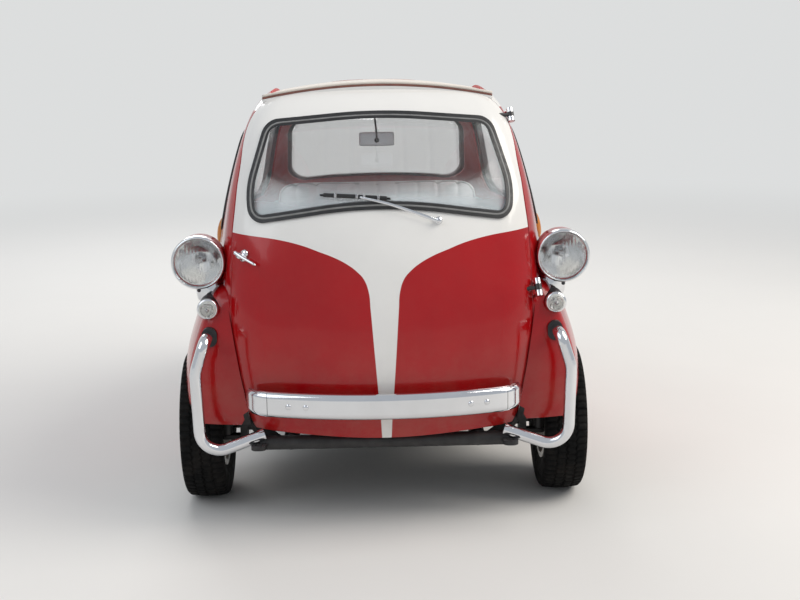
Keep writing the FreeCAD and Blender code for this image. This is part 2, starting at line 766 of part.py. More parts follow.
body = body.cut([void, mirrored(void), rear_void, mirrored(rear_void), hub_hole,
                 side_opening, mirrored(side_opening), tube_notch, mirrored(tube_notch), rear_opening,
                 pushed(ROOF_OPENING, "XY", 1200, 1400), hatch_hole.cut(skins[14.0]),
                 pushed(grown(HATCH, -14), "YZ", -640, -200)] + hatch_pockets)
shaped("body_shell", body)

split = 858
front_pane = pane_band.common(pushed(grown(SIDE_WINDOW, -15), "YZ", 300, 640)).common(
    block(300, 640, 400, split + 20, 800, 1300))
rear_pane = inner_pane_band.common(pushed(grown(SIDE_WINDOW, -15), "YZ", 300, 640)).common(
    block(300, 640, split - 20, 1500, 800, 1300))
shaped("body_glass", Part.makeCompound([front_pane, mirrored(front_pane), rear_pane, mirrored(rear_pane),
                                        rear_glass]))
channel = seal_band.common(
    pushed(SIDE_WINDOW, "YZ", 300, 640).cut(pushed(grown(SIDE_WINDOW, -22), "YZ", 300, 640)))
channel = channel.cut([body, front_pane, rear_pane])
shaped("window_seals", Part.makeCompound([channel, mirrored(channel), rear_seal.cut(body)]))

# Engine hatch: a pressed panel with a row of hooded louvres, each open on its lower side.
hatch_panel = hatch_band.common(pushed(grown(HATCH, -5), "YZ", -640, -200))
hoods, hollows = [], []
louvres = int(float(p.louvre_count))
pitch = (float(p.hatch_high_z) - float(p.hatch_low_z) - 70) / (louvres - 1)
for index in range(louvres):
    z = float(p.hatch_low_z) + 35 + index * pitch
    ends = [FreeCAD.Vector(-skin_x(back, z), back, z) for back in
            (float(p.hatch_front_back) + 55, float(p.hatch_rear_back) - 75)]
    way = ends[1] - ends[0]
    out = FreeCAD.Vector(-1, 0, 0)
    hood = Part.makeCylinder(11, way.Length, ends[0] + out * -2, way)
    hollow = Part.makeCylinder(7.5, way.Length - 8, ends[0] + way.normalize() * 4 + out * -1.5
                               + FreeCAD.Vector(0, 0, -3), way)
    slot = Part.makeBox(30, (ends[1] - ends[0]).Length - 8, 7,
                        FreeCAD.Vector(ends[1].x - 8, ends[0].y + 4, z - 10))
    hoods.append(hood)
    hollows += [hollow, slot]
hatch_panel = hatch_panel.fuse(hoods).cut(hollows)
for at in (35, 205):
    knuckle_foot = hatch_foot + hatch_way * at
    leaf = Part.makeBox(7, 16, 30, knuckle_foot + FreeCAD.Vector(-1.5, 0, 0))
    hatch_panel = hatch_panel.fuse([Part.makeCylinder(5.5, 30, knuckle_foot, hatch_way), leaf])
shaped("hatch_panel", hatch_panel)

# Fabric roof: one stretched sheet over bows, lying on the roof rails, with a bead at its front.
ROOF_ROWS = [
    {"back": 497, "edge": 366, "edge_z": 1291, "crown_z": 1333},
    {"back": 690, "edge": 368, "edge_z": 1302, "crown_z": 1343},
    {"back": 890, "edge": 364, "edge_z": 1304, "crown_z": 1344},
    {"back": 1090, "edge": 354, "edge_z": 1294, "crown_z": 1334},
    {"back": 1290, "edge": 338, "edge_z": 1261, "crown_z": 1305},
]


def roof_section(row, thickness):
    edge, back, low, high = row["edge"], row["back"], row["edge_z"], row["crown_z"]
    left, right, top = vec(-edge, back, low), vec(edge, back, low), vec(0, back, high)
    drop = vec(0, 0, -thickness)
    return Part.Wire([Part.Arc(left, top, right).toShape(),
                      Part.LineSegment(right, right + drop).toShape(),
                      Part.Arc(right + drop, top + drop, left + drop).toShape(),
                      Part.LineSegment(left + drop, left).toShape()])


roof = Part.makeLoft([roof_section(row, float(p.roof_thickness)) for row in ROOF_ROWS], True, False, False, 5)
front_row = ROOF_ROWS[0]
bead_spots = [vec(x, front_row["back"] - 5, z) for x, z in
              ((-front_row["edge"], front_row["edge_z"] - 5), (0, front_row["crown_z"] - 5),
               (front_row["edge"], front_row["edge_z"] - 5))]
bead_path = Part.Wire([Part.Arc(*bead_spots).toShape()])
bead_way = bead_path.Edges[0].tangentAt(bead_path.Edges[0].FirstParameter)
bead = bead_path.makePipeShell([Part.Wire(Part.makeCircle(5, bead_spots[0], bead_way))], True, False)
near_roof = block(-700, 700, 400, 1400, 1220, 1400)
roof = roof.fuse(bead).cut([body.common(near_roof), door_panel.common(near_roof)])
shaped("roof_fabric", max(roof.Solids, key=lambda solid: solid.Volume))

# Floor, bulkhead and parcel shelf, fitted to the inside of the skin.
floor_low, floor_high = float(p.floor_z), float(p.floor_z + p.floor_thickness)
bulkhead = float(p.bulkhead_back)
clear_of_houses = house.fuse(mirrored(house)).fuse(void).fuse(mirrored(void))
floor = skins[26.0].common(block(-600, 600, 205, bulkhead, floor_low, floor_high)).fuse(
    skins[33.0].common(block(-600, 600, 60, 206, floor_low, floor_high)))
shaped("floor_pan", floor.cut(clear_of_houses))
shelf = skins[26.0].common(block(-600, 600, bulkhead, bulkhead + 8, floor_low, float(p.shelf_z))).fuse(
    skins[26.0].common(block(-600, 600, bulkhead, 2300, float(p.shelf_z), float(p.shelf_z) + 8)))
shaped("parcel_shelf", shelf)

# Tube frame with the front beam, its kingpin yokes, cross tubes and towing lugs.
tube_r = float(p.frame_tube_radius)
cross_r = float(p.frame_tube_radius - 2)
frame_z = floor_low - tube_r
beam_z = float(axle_z) - 8
side_x, rear_x = float(p.frame_half_width), 140
front_end, rear_end = float(p.frame_front_back), float(p.frame_rear_back)
frame = tube([(side_x, front_end, frame_z), (side_x, 1300, frame_z), (rear_x, rear_end, frame_z)],
             [200], tube_r)
frame = frame.fuse(mirrored(frame))
cross_bars = [(front_end, -384, 384, frame_z, cross_r), (900, -290, 290, frame_z, 18),
              (rear_end, -388, 215, frame_z, cross_r), (float(axle_back), -452, 452, beam_z, 22)]
for back, x_low, x_high, height, radius in cross_bars:
    frame = frame.fuse(round_bar(x_low, back, height, radius, x_high - x_low, (1, 0, 0)))
pin_x, pin_r = float(p.kingpin_x), float(p.kingpin_radius)
yoke = block(450, 474, float(axle_back) - 24, float(axle_back) + 24, float(axle_z) - 58, float(axle_z) + 58)
for low in (-58, 44):
    yoke = yoke.fuse(block(470, pin_x, float(axle_back) - 18, float(axle_back) + 18, float(axle_z) + low,
                           float(axle_z) + low + 14))
    yoke = yoke.fuse(round_bar(pin_x, axle_back, float(axle_z) + low, 18, 14, (0, 0, 1)))
yoke = yoke.fuse(round_bar(pin_x, axle_back, float(axle_z) - 50, pin_r, 100, (0, 0, 1)))
lug = pushed([(362, front_end - 66, 20), (410, front_end - 66, 20), (406, front_end + 16, 12),
              (362, front_end + 16, 12)], "XY", frame_z - 6, frame_z + 6).cut(
    round_bar(386, front_end - 42, frame_z - 10, p.tow_eye_radius, 20, (0, 0, 1)))
pad = block(side_x - 30, side_x + 30, 860, 940, frame_z - tube_r - 8, frame_z - 10)
frame = frame.fuse([yoke, mirrored(yoke), lug, mirrored(lug), pad, mirrored(pad)])
shaped("chassis_frame", frame)

barrel_z = float(axle_z) + 58
barrel = round_bar(465, axle_back, barrel_z, 19, float(axle_z) + inner_void - barrel_z, (0, 0, 1))
for index in range(6):
    coil = Part.makeTorus(21, 5, vec(465, axle_back, barrel_z + 26 + index * 30), vec(0, 0.08, 1))
    barrel = barrel.fuse(coil)
front_spring = barrel.cut(house)

# Knuckles: kingpin boss, stub axle and steering arm, one body each side.
knuckle = round_bar(pin_x, axle_back, float(axle_z) - 42, 18, 84, (0, 0, 1))
knuckle = knuckle.fuse(round_bar(pin_x, axle_back, axle_z, p.hub_bore_radius - 0.05,
                                 float(front_wheel_x) + 26 - pin_x, (1, 0, 0)))
arm_x = pin_x - float(p.steering_arm_inset)
arm_back = float(axle_back + p.steering_arm_length)
arm = pushed([(float(axle_back) + 2, pin_x + 4, 2), (float(axle_back) + 2, pin_x - 10, 2),
              (arm_back - 40, arm_x - 9, 20), (arm_back, arm_x - 9, 2), (arm_back, arm_x + 9, 2),
              (arm_back - 40, arm_x + 9, 20)], "XY", 0, 12)
arm = arm.mirror(FreeCAD.Vector(0, 0, 0), FreeCAD.Vector(1, -1, 0).normalize())
arm.translate(vec(0, 0, float(axle_z) - 24))
eye = round_bar(arm_x, arm_back, float(axle_z) - 26, 13, 16, (0, 0, 1))
pin_bore = round_bar(pin_x, axle_back, float(axle_z) - 60, pin_r + 0.05, 120, (0, 0, 1))
knuckle = knuckle.fuse(arm).fuse(eye).cut(pin_bore)
shaped("knuckle_left", knuckle)
shaped("knuckle_right", mirrored(knuckle))
track_z = float(axle_z - p.track_rod_drop)
track = round_bar(-arm_x, arm_back, track_z, p.track_rod_radius, 2 * arm_x, (1, 0, 0))
for sign in (-1, 1):
    track = track.fuse(round_bar(sign * arm_x, arm_back, track_z - 9, 14,
                                 float(axle_z) - 26.3 - track_z + 9, (0, 0, 1)))
shaped("track_rod", track)

# Wheels: tyre, pressed rim and hubcap, all turned about their axle.
crown_rise = 5
tyre_side = p.tyre_width / 2 - 2.3
bead_x = p.rim_width / 2
shoulder = p.tyre_radius - 48
crown = (p.tread_half_width * p.tread_half_width + crown_rise * crown_rise) / (2 * crown_rise)
lip = p.rim_radius + p.rim_lip_height
TYRE = [(bead_x, p.rim_radius), (bead_x, lip, 60), (tyre_side, shoulder, 42),
        (p.tread_half_width, p.tyre_radius - crown_rise, crown),
        (-p.tread_half_width, p.tyre_radius - crown_rise, 42), (-tyre_side, shoulder, 60), (-bead_x, lip),
        (-bead_x, p.rim_radius)]
well = p.rim_radius - p.rim_sheet
lip_x = bead_x + p.rim_sheet
disc = p.wheel_disc_out
RIM = [(lip_x, lip), (bead_x, lip), (bead_x, p.rim_radius), (-bead_x, p.rim_radius), (-bead_x, lip),
       (-lip_x, lip), (-lip_x, well), (disc, well), (disc + 11, 104), (disc + 11, 79), (disc, 59),
       (disc, p.hub_bore_radius), (disc + 5, p.hub_bore_radius), (disc + 5, 60), (disc + 16, 80), (disc + 16, 105), (disc + 5, well),
       (lip_x, well)]
cap_base = disc + 16
cap_rise = p.hubcap_height - 4
HUBCAP = [(cap_base, 0), (cap_base + p.hubcap_height, 0,
                          (p.hubcap_radius * p.hubcap_radius + cap_rise * cap_rise) / (2 * cap_rise)),
          (cap_base + 4, p.hubcap_radius), (cap_base, p.hubcap_radius)]


def wheel(name, x, back, toward):
    """A tyre, and its rim with the hubcap pressed on."""
    tyre = turned("tyre_" + name, TYRE, x, back, p.tyre_radius, toward)
    rim = turned("rim_" + name, RIM, x, back, p.tyre_radius, toward)
    cap = turned("hubcap_" + name, HUBCAP, x, back, p.tyre_radius, toward)
    return tyre, fused("wheel_" + name, [rim, cap])


for side, sign in (("left", 1), ("right", -1)):
    tyre, rim = wheel("front_" + side, sign * front_wheel_x, p.front_axle_back, (sign, 0, 0))
    keep("tyre_front_" + side, tyre)
    keep("wheel_front_" + side, rim)
tyre, rim = wheel("rear", rear_wheel_x, p.rear_axle_back, (1, 0, 0))
keep("tyres_rear", pair("tyres_rear", tyre))
keep("wheels_rear", pair("wheels_rear", rim))
shaft_length = p.rear_track + 2 * disc + 12
keep("rear_axle_shaft", rod("rear_axle_shaft", p.hub_bore_radius, shaft_length, -shaft_length / 2,
                            p.rear_axle_back, p.tyre_radius, (1, 0, 0)))

# Rear bearings on quarter springs, sloping chain case, engine block and exhaust.
spring_top = p.floor_z
bearing = fused("bearing_blank", [
    rod("bearing_round", p.bearing_radius, 50, p.bearing_x - 25, p.rear_axle_back, p.tyre_radius, (1, 0, 0)),
    box("bearing_pad", 44, 44, spring_top - p.tyre_radius, p.bearing_x, p.rear_axle_back, p.tyre_radius)])
bearing = less("bearing_bored", bearing, rod("bearing_bore", p.hub_bore_radius + 4, 60, p.bearing_x - 30,
                                             p.rear_axle_back, p.tyre_radius, (1, 0, 0)))
leaves = [box("leaf_%d" % index, p.rear_spring_width, 500 - 95 * index, p.rear_spring_leaf, p.bearing_x,
              1740 - 47.5 * index, spring_top + p.rear_spring_leaf * index) for index in range(4)]
leaves.append(box("spring_clamp", p.rear_spring_width + 16, 60, 34, p.bearing_x, 1580, spring_top))
stack = fused("spring_stack", leaves + [bearing])
front_stack = doc.addObject("Part::Feature", "front_stack")
front_stack.Shape = front_spring
front_stack.Placement = FreeCAD.Placement(vec(0, -half_length, 0), FreeCAD.Rotation())
springs = doc.addObject("Part::Compound", "springs")
springs.Links = [front_stack, stack]
keep("suspension", pair("suspension", springs))
case_half = float(p.chain_case_width) / 2
chain_case = pushed([(1548, 346, 46), (1900, 192, 46), (2008, 192, 46), (2008, 292, 46), (1640, 462, 46),
                     (1548, 462, 46)], "YZ", -case_half, case_half).cut(
    round_bar(-case_half - 1, p.rear_axle_back, axle_z, float(p.hub_bore_radius) + 5, 2 * case_half + 2,
              (1, 0, 0)))
engine_side = float(p.engine_x + p.engine_width / 2)
gearbox_stub = round_bar(engine_side, 1602, 404, 42, -engine_side - case_half, (1, 0, 0))
shaped("chain_case", chain_case.fuse(gearbox_stub))
keep("engine_block", box("engine_block", p.engine_width, p.engine_length, p.engine_height, p.engine_x,
                         p.engine_back + p.engine_length / 2, p.floor_z))
silencer_z = 236
exhaust = round_bar(60, 1650, silencer_z, p.silencer_radius, p.silencer_length, (1, 0, 0))
down_pipe = [(-230, 1650, floor_low), (-230, 1650, silencer_z), (70, 1650, silencer_z)]
exhaust = exhaust.fuse(tube(down_pipe, [28], 15))
exhaust = exhaust.fuse(round_bar(90, 1670, 206, 13, 540, (0, 1, 0)))
shaped("exhaust", exhaust)

# Chrome door bumper: three facets bent round the nose, with tighter curved ends.
bumper_r = p.door_bumper_radius
bumper_half = p.door_bumper_height / 2
end_radius = 110


def bumper_bar(name, outer, turn, x, back, toward, midplane):
    body_object = doc.addObject("PartDesign::Body", name)
    section = [(outer - 14, bumper_half), (outer - 18, bumper_half), (outer - 4.5, bumper_half * 0.45),
               (outer - 4.5, -bumper_half * 0.45), (outer - 18, -bumper_half), (outer - 14, -bumper_half, 20),
               (outer, -bumper_half * 0.47), (outer, bumper_half * 0.47, 20)]
    sketch = profile_sketch(body_object, section)
    feature = body_object.newObject("PartDesign::Revolution", name + "_turn")
    feature.Profile = sketch
    feature.ReferenceAxis = (sketch, ["V_Axis"])
    bind(feature, "Angle", turn)
    feature.Midplane = midplane
    return place(body_object, x, back, p.door_bumper_z, (1, 0, 0), toward)


bumper_middle = bumper_bar("bumper_middle", bumper_r, 2 * p.door_bumper_sweep, 0, bumper_r, (0, -1, 0),
                           True)
sweep = math.radians(float(p.door_bumper_sweep))
end_x = (float(bumper_r) - end_radius) * math.sin(sweep)
end_back = float(bumper_r) - (float(bumper_r) - end_radius) * math.cos(sweep)
bumper_end = bumper_bar("bumper_end", end_radius, 50, end_x, end_back,
                        (math.sin(sweep), -math.cos(sweep), 0), False)
bumper_z = float(p.door_bumper_z)
bracket = block(240, 305, 10, 130, bumper_z - 15, bumper_z + 15).cut(skins[0.0]).common(
    Part.makeCylinder(float(bumper_r) - 4.5, 200, vec(0, bumper_r, 300)))
bracket_pair = doc.addObject("Part::Feature", "bumper_brackets")
bracket_pair.Shape = both_sides(bracket)
bracket_pair.Placement = FreeCAD.Placement(vec(0, -half_length, 0), FreeCAD.Rotation())
keep("door_bumper", fused("door_bumper", [bumper_middle, pair("bumper_ends", bumper_end), bracket_pair]))

# Chrome guard tubes in front of each fender and at the tail, with rubber sockets.
tube_radius = float(p.bumper_tube_radius)
low_z, high_z = float(p.bumper_tube_low_z), float(p.bumper_tube_high_z)
ahead, out_x, socket_x = float(p.bumper_tube_front_back), float(p.bumper_tube_x), float(p.bumper_socket_x)
inner_x = float(p.bumper_tube_inner_x)
guard = tube([(inner_x - 26, front_end - 8, frame_z + 30), (out_x - 8, ahead, low_z),
              (out_x, ahead, high_z - 94), (socket_x + 6, ahead + 2, high_z + 4), (socket_x, 262, high_z)],
             [64, 110, 30], tube_radius)
guard = guard.cut([left_fender, frame])
guard = max(guard.Solids, key=lambda solid: solid.Volume)
oval_wide, oval_high = float(p.grommet_radius) - 7, float(p.grommet_radius)
grommet = pushed([(socket_x - oval_wide, high_z - oval_high, oval_wide - 1),
                  (socket_x + oval_wide, high_z - oval_high, oval_wide - 1),
                  (socket_x + oval_wide, high_z + oval_high, oval_wide - 1),
                  (socket_x - oval_wide, high_z + oval_high, oval_wide - 1)],
                 "XZ", 176, 250).cut([left_fender, guard])
shaped("guard_grommets", both_sides(max(grommet.Solids, key=lambda solid: solid.Volume)))
rear_z = float(p.rear_tube_high_z)
rear_x_out, rear_x_in, rear_low = float(p.rear_tube_x), float(p.rear_tube_inner_x), float(p.rear_tube_low_z)
rear_face = float(p.overall_length) - tube_radius
rear_guard = tube([(rear_x_out - 60, 2080, rear_z), (rear_x_out - 45, rear_face - 40, rear_z),
                   (rear_x_out, rear_face, rear_z - 34), (rear_x_out, rear_face, rear_low),
                   (rear_x_in, rear_face - 30, rear_low - 8), (rear_x_in, 2060, rear_low - 8)],
                  [40, 44, 48, 60], tube_radius).cut(skins[0.0])
rear_guard = max(rear_guard.Solids, key=lambda solid: solid.Volume)
shaped("guard_tubes", Part.makeCompound([guard, mirrored(guard), rear_guard, mirrored(rear_guard)]))


def lathe(points, x, back, z, toward):
    """A turned solid about a line that starts at a point and runs the given way."""
    wire = rounded(points, "XY")
    solid = Part.Face(wire).revolve(vec(0, 0, 0), vec(1, 0, 0), 360)
    solid.Placement = FreeCAD.Placement(vec(x, back, z), FreeCAD.Rotation(vec(1, 0, 0), vec(*toward)))
    return solid


# Headlamps on short pedestals, side lamps and tail lamps.
lamp_x, lamp_z, lamp_back = float(p.lamp_x), float(p.lamp_z), float(p.lamp_face_back)
bucket_r = float(p.lamp_bucket_radius)
rim_r, glass_r = float(p.lamp_rim_radius), float(p.lamp_glass_radius)
bucket = lathe([(14, glass_r - 3, 0.5), (14, bucket_r, 2), (90, bucket_r, 60), (180, 52, 40), (200, 0, 0.5),
                (92, 0, 0.5), (74, 44, 30)], lamp_x, lamp_back, lamp_z, (0, 1, 0))
pedestal = Part.makeCone(46, 38, 120, vec(lamp_x - 36, lamp_back + 98, 690), vec(0.22, 0, 1))
pod = bucket.fuse(pedestal).cut(skins[0.0]).cut(left_fender)
shaped("headlamp_pods", both_sides(max(pod.Solids, key=lambda solid: solid.Volume)))
shaped("headlamp_rims", both_sides(lathe([(0, glass_r, 1), (14, glass_r, 1), (14, rim_r, 1), (10, rim_r, 1),
                                          (0, glass_r + 4, 1)], lamp_x, lamp_back, lamp_z, (0, 1, 0))))
shaped("headlamp_lenses", both_sides(lathe([(-12, 0, 0.2), (4, glass_r, 1), (12, glass_r, 1), (14, 0, 0.2)],
                                           lamp_x, lamp_back, lamp_z, (0, 1, 0)).common(
    round_bar(lamp_x, lamp_back - 40, lamp_z, glass_r, 80, (0, 1, 0)))))
side_r = float(p.side_lamp_radius)
side_x_lamp, side_z_lamp = float(p.side_lamp_x), float(p.side_lamp_z)
lamp_base = round_bar(side_x_lamp, 190, side_z_lamp, side_r, 84, (0, 1, 0)).cut(left_fender).cut(skins[0.0])
lamp_base = max(lamp_base.Solids, key=lambda solid: solid.Volume)
side_lens = lathe([(-18, 0, 0.2), (-10, side_r - 6, 6), (0, side_r - 4, 0.5), (0, 0, 0.2)],
                  side_x_lamp, 190, side_z_lamp, (0, 1, 0))
tail_x, tail_z, tail_r = float(p.tail_lamp_x), float(p.tail_lamp_z), float(p.tail_lamp_radius)
tail_face = tail_back(tail_x - tail_r, tail_z) + 4
tail_base = round_bar(tail_x, tail_face - 100, tail_z, tail_r, 100, (0, 1, 0)).cut(skins[0.0])
tail_base = max(tail_base.Solids, key=lambda solid: solid.Volume)
tail_lens = lathe([(0, 0, 0.2), (0, tail_r - 4, 0.5), (10, tail_r - 6, 5), (18, 0, 0.2)],
                  tail_x, tail_face, tail_z, (0, 1, 0))
shaped("small_lamp_bodies", Part.makeCompound([lamp_base, mirrored(lamp_base),
                                               tail_base, mirrored(tail_base)]))
shaped("small_lamp_lenses", Part.makeCompound([side_lens, mirrored(side_lens),
                                               tail_lens, mirrored(tail_lens)]))
cap_z = float(p.filler_cap_z)
cap_spot = (0, tail_back(0, cap_z), cap_z)
cap_way = vec(0, 0.73, 0.683)
cap = Part.makeCylinder(float(p.filler_cap_radius), 34, vec(*cap_spot) - cap_way * 14, cap_way)
upper_first = cap.Edges[0].BoundBox.ZMax > cap.Edges[2].BoundBox.ZMax
cap = cap.makeFillet(5, [cap.Edges[0] if upper_first else cap.Edges[2]])
shaped("fuel_cap", max(cap.cut(skins[0.0]).Solids, key=lambda solid: solid.Volume))

# What rides on the door outside: hinge arms, handle and wiper.
HINGE_LOW, HINGE_HIGH = (478, 187, 728), (421, 449, 1237)
hinge_way = (vec(*HINGE_HIGH) - vec(*HINGE_LOW)).normalize()


def hinge(point, length):
    """One hinge: the fixed knuckles on the body and the middle one on the door."""
    middle = vec(*point)
    fixed = [Part.makeCylinder(11, length, middle + hinge_way * at, hinge_way)
             for at in (-1.5 * length - 1, length / 2 + 1)]
    moving = Part.makeCylinder(11, length, middle - hinge_way * (length / 2), hinge_way)
    return fixed, moving


def square_to_hinge(way):
    """A direction turned square to the hinge line."""
    return (vec(*way) - hinge_way * vec(*way).dot(hinge_way)).normalize()


fixed_pieces, door_pieces = [], []
for point, length, rearward, inward in ((HINGE_LOW, 18, (-0.35, 1, 0), (-1, 0.05, 0)),
                                        (HINGE_HIGH, 14, (-0.6, 1, 0), (-1, -0.3, 0))):
    fixed, moving = hinge(point, length)
    near = Part.makeSphere(110, vec(*point))
    near_body, near_fender, near_door = [piece.common(near) for piece in (body, left_fender, door_panel)]
    for barrel_piece in fixed:
        foot = Part.makeCylinder(6, 60, barrel_piece.CenterOfMass, square_to_hinge(rearward))
        fixed_pieces.append(barrel_piece.fuse(foot).cut([near_body, near_fender, near_door, seal]))
    strap = Part.makeCylinder(6, 60, vec(*point), square_to_hinge(inward))
    door_pieces.append(moving.fuse(strap).cut([near_door, seal]))
fixed_pieces += [Part.makeCylinder(5.5, 14, hatch_foot + hatch_way * at, hatch_way).cut(
    body.common(block(-520, -460, 1430, 1458, 440, 700))) for at in (19, 67, 189, 237)]
shaped("hinge_brackets", Part.makeCompound([max(piece.Solids, key=lambda solid: solid.Volume)
                                            for piece in fixed_pieces]))
shaped("hinge_arms", Part.makeCompound([max(piece.Solids, key=lambda solid: solid.Volume)
                                        for piece in door_pieces]))
handle_back = nose_back(418, 844)
boss = Part.makeCylinder(14, 60, vec(-418, handle_back - 16, 842), vec(0, 1, 0)).cut(skins[0.0])
boss = max(boss.Solids, key=lambda solid: solid.Volume)
lever = tube([(-456, nose_back(450, 860) - 26, 860), (-418, handle_back - 20, 842),
              (-376, nose_back(376, 822) - 22, 822)], [60], 7)
shaped("door_handle", boss.fuse(lever))
pivot = (178, nose_back(178, 944), 944)
wiper = Part.makeCylinder(11, 40, vec(*pivot) - vec(0, 24, 0), vec(0, 1, 0.1)).cut([skins[0.0], seal])
wiper = max(wiper.Solids, key=lambda solid: solid.Volume)
arm_tip = (-12, nose_back(12, 1010) - 16, 1010)
wiper = wiper.fuse(tube([(178, pivot[1] - 20, 946), (80, nose_back(80, 975) - 20, 979), arm_tip], [400], 4))
blade = tube([(-200, nose_back(200, 1018) - 9, 1018), (-80, nose_back(80, 1013) - 9, 1013),
              (56, nose_back(56, 1008) - 9, 1008)], [900], 5).cut(seal)
shaped("wiper", wiper.fuse(max(blade.Solids, key=lambda solid: solid.Volume)))

# What rides on the door inside: mirror, column with its strut, and the instrument pod.
mirror_body = Part.makeBox(113, 14, 46, vec(-62, 452, 1144))
mirror_body = mirror_body.makeFillet(6, mirror_body.Edges)
stalk = Part.makeCylinder(4, 130, vec(-6, 459, 1180), vec(0, 0, 1)).cut(door_panel).cut(seal)
stalk = min(stalk.Solids, key=lambda solid: solid.BoundBox.ZMin)
shaped("interior_mirror", mirror_body.fuse(stalk))
lean = math.radians(float(p.column_lean))
column_way = vec(0, math.sin(lean), math.cos(lean))
hub_spot = vec(p.steering_x, p.steering_hub_back, p.steering_hub_z)
column_low = hub_spot - column_way * float(p.column_length)
column = Part.makeCylinder(float(p.column_radius), float(p.column_length) - 12.3, column_low, column_way)
strut_at = column_low + column_way * 270
strut = tube([(strut_at.x, strut_at.y, strut_at.z), (strut_at.x, strut_at.y - 80, strut_at.z - 6),
              (strut_at.x, 60, strut_at.z - 30)], [300], 13).cut(skins[0.0].cut(skins[26.0]))
strut = max(strut.Solids, key=lambda solid: solid.Volume)
column = column.fuse(strut)
pod_at = column_low + column_way * 400
instrument = Part.makeCylinder(46, 60, pod_at + vec(0, -44, 30) - column_way * 30, column_way)
shaped("steering_column", column.fuse(instrument))
wheel_rim = Part.makeTorus(float(p.steering_wheel_radius), float(p.steering_rim_radius), hub_spot, column_way)
hub = Part.makeCylinder(30, 36, hub_spot - column_way * 12, column_way)
across = vec(1, 0, 0)
spokes = [Part.makeCylinder(7, float(p.steering_wheel_radius), hub_spot, across * sign) for sign in (1, -1)]
shaped("steering_wheel", wheel_rim.fuse(hub).fuse(spokes[0]).fuse(spokes[1]))

# Cabin: seat, pedals, levers and the steering box with its stub.
seat_x = p.seat_half_width
cushion_low = p.floor_z + p.floor_thickness + p.seat_base_height
keep("seat_base", box("seat_base", 2 * seat_x - 90, p.seat_depth, p.seat_base_height, 0,
                      p.seat_front_back + p.seat_depth / 2, p.floor_z + p.floor_thickness))
half_depth, half_high = p.seat_depth / 2 + 8, p.cushion_height / 2
keep("seat_cushion", padded("seat_cushion", [
    (half_depth - 30, -half_high), (half_depth, -half_high + 30), (half_depth, half_high - 30),
    (half_depth - 30, half_high), (-half_depth + 30, half_high), (-half_depth, half_high - 30),
    (-half_depth, -half_high + 30), (-half_depth + 30, -half_high)], 2 * seat_x, "YZ_Plane", 0,
    p.seat_front_back + p.seat_depth / 2, cushion_low + half_high))
back_high, back_thick = p.backrest_height, p.backrest_thickness
backrest = padded("seat_backrest", [
    (back_thick - 25, 0), (back_thick, 25), (back_thick, back_high - 35), (back_thick - 35, back_high),
    (35, back_high), (0, back_high - 35), (0, 25), (25, 0)], 2 * seat_x - 110, "YZ_Plane", 0, 1214,
    cushion_low + p.cushion_height + 16, (0, 0, 1),
    (0, math.sin(math.radians(12)), math.cos(math.radians(12))))
keep("seat_backrest", backrest)
floor_top = p.floor_z + p.floor_thickness
pedals = []
for index, x in enumerate((85, 160, 312)):
    pedal = rod("pedal_rod_%d" % index, 6, 119, x, 262, floor_top + 1, (0, -0.1, 1))
    pad = box("pedal_pad_%d" % index, 46, 12, 60, x, 247, floor_top + 100)
    pedals.append(fused("pedal_%d" % index, [pedal, pad]))
steering_box = fused("steering_box_all", [
    box("steering_box_case", 70, 90, 46, p.steering_x, 242, floor_top),
    rod("steering_box_stub", 13, 60, p.steering_x, 240, floor_top + 40)])
gear = fused("gear_all", [rod("gear_rod", 6, 246, p.gear_x, p.gear_back, floor_top + 4, (-0.06, -0.1, 1)),
                          box("gear_gate", 34, 90, 26, p.gear_x, p.gear_back, floor_top)])
gear_knob = doc.addObject("Part::Sphere", "gear_knob")
gear_knob.Radius = 19
place(gear_knob, p.gear_x - 14.9, p.gear_back - 24.8, floor_top + 250)
gear = fused("gear_with_knob", [gear, gear_knob])
brake = fused("brake_all", [rod("brake_rod", 8, 230, 60, 770, floor_top + 10, (0, -0.75, 0.66)),
                            box("brake_foot", 30, 60, 20, 60, 770, floor_top)])
controls = doc.addObject("Part::Compound", "cabin_controls")
controls.Links = pedals + [steering_box, gear, brake]
keep("cabin_controls", controls)

doc.recompute()
for thing in doc.Objects:
    if "Invalid" in thing.State or "Error" in thing.State:
        raise RuntimeError("%s failed to build: %s" % (thing.Name, thing.State))
for label, thing in node_objects.items():
    if thing.Shape.isNull() or not thing.Shape.isValid() or thing.Label != label:
        raise RuntimeError("%s has no sound shape" % label)
os.makedirs("parts", exist_ok=True)
for label, thing in node_objects.items():
    thing.Shape.exportStep("parts/%s.step" % label)
print("%d sub-parts written" % len(node_objects))
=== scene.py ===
import math
import bmesh
import bpy
import numpy as np
from mathutils import Matrix, Vector
from mathutils.bvhtree import BVHTree


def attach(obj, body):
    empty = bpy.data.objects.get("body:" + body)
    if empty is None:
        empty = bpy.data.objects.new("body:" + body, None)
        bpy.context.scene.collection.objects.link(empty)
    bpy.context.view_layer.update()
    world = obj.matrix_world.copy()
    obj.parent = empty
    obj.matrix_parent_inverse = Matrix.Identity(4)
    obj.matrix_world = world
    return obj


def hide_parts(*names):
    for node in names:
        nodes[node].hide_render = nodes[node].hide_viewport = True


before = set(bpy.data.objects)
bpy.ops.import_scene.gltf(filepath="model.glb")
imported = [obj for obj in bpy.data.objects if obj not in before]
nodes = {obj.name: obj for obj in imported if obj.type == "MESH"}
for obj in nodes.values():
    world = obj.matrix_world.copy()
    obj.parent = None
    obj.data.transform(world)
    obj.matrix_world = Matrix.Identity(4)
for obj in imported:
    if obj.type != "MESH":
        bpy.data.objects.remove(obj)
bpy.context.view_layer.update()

scene = bpy.context.scene
carLength = 2355
tyreRadius = 243
axleBack = {"front": 460, "rear": 1960}
wheelAside = {"front": 578, "rear": 260}
sides = {"left": 1, "right": -1}
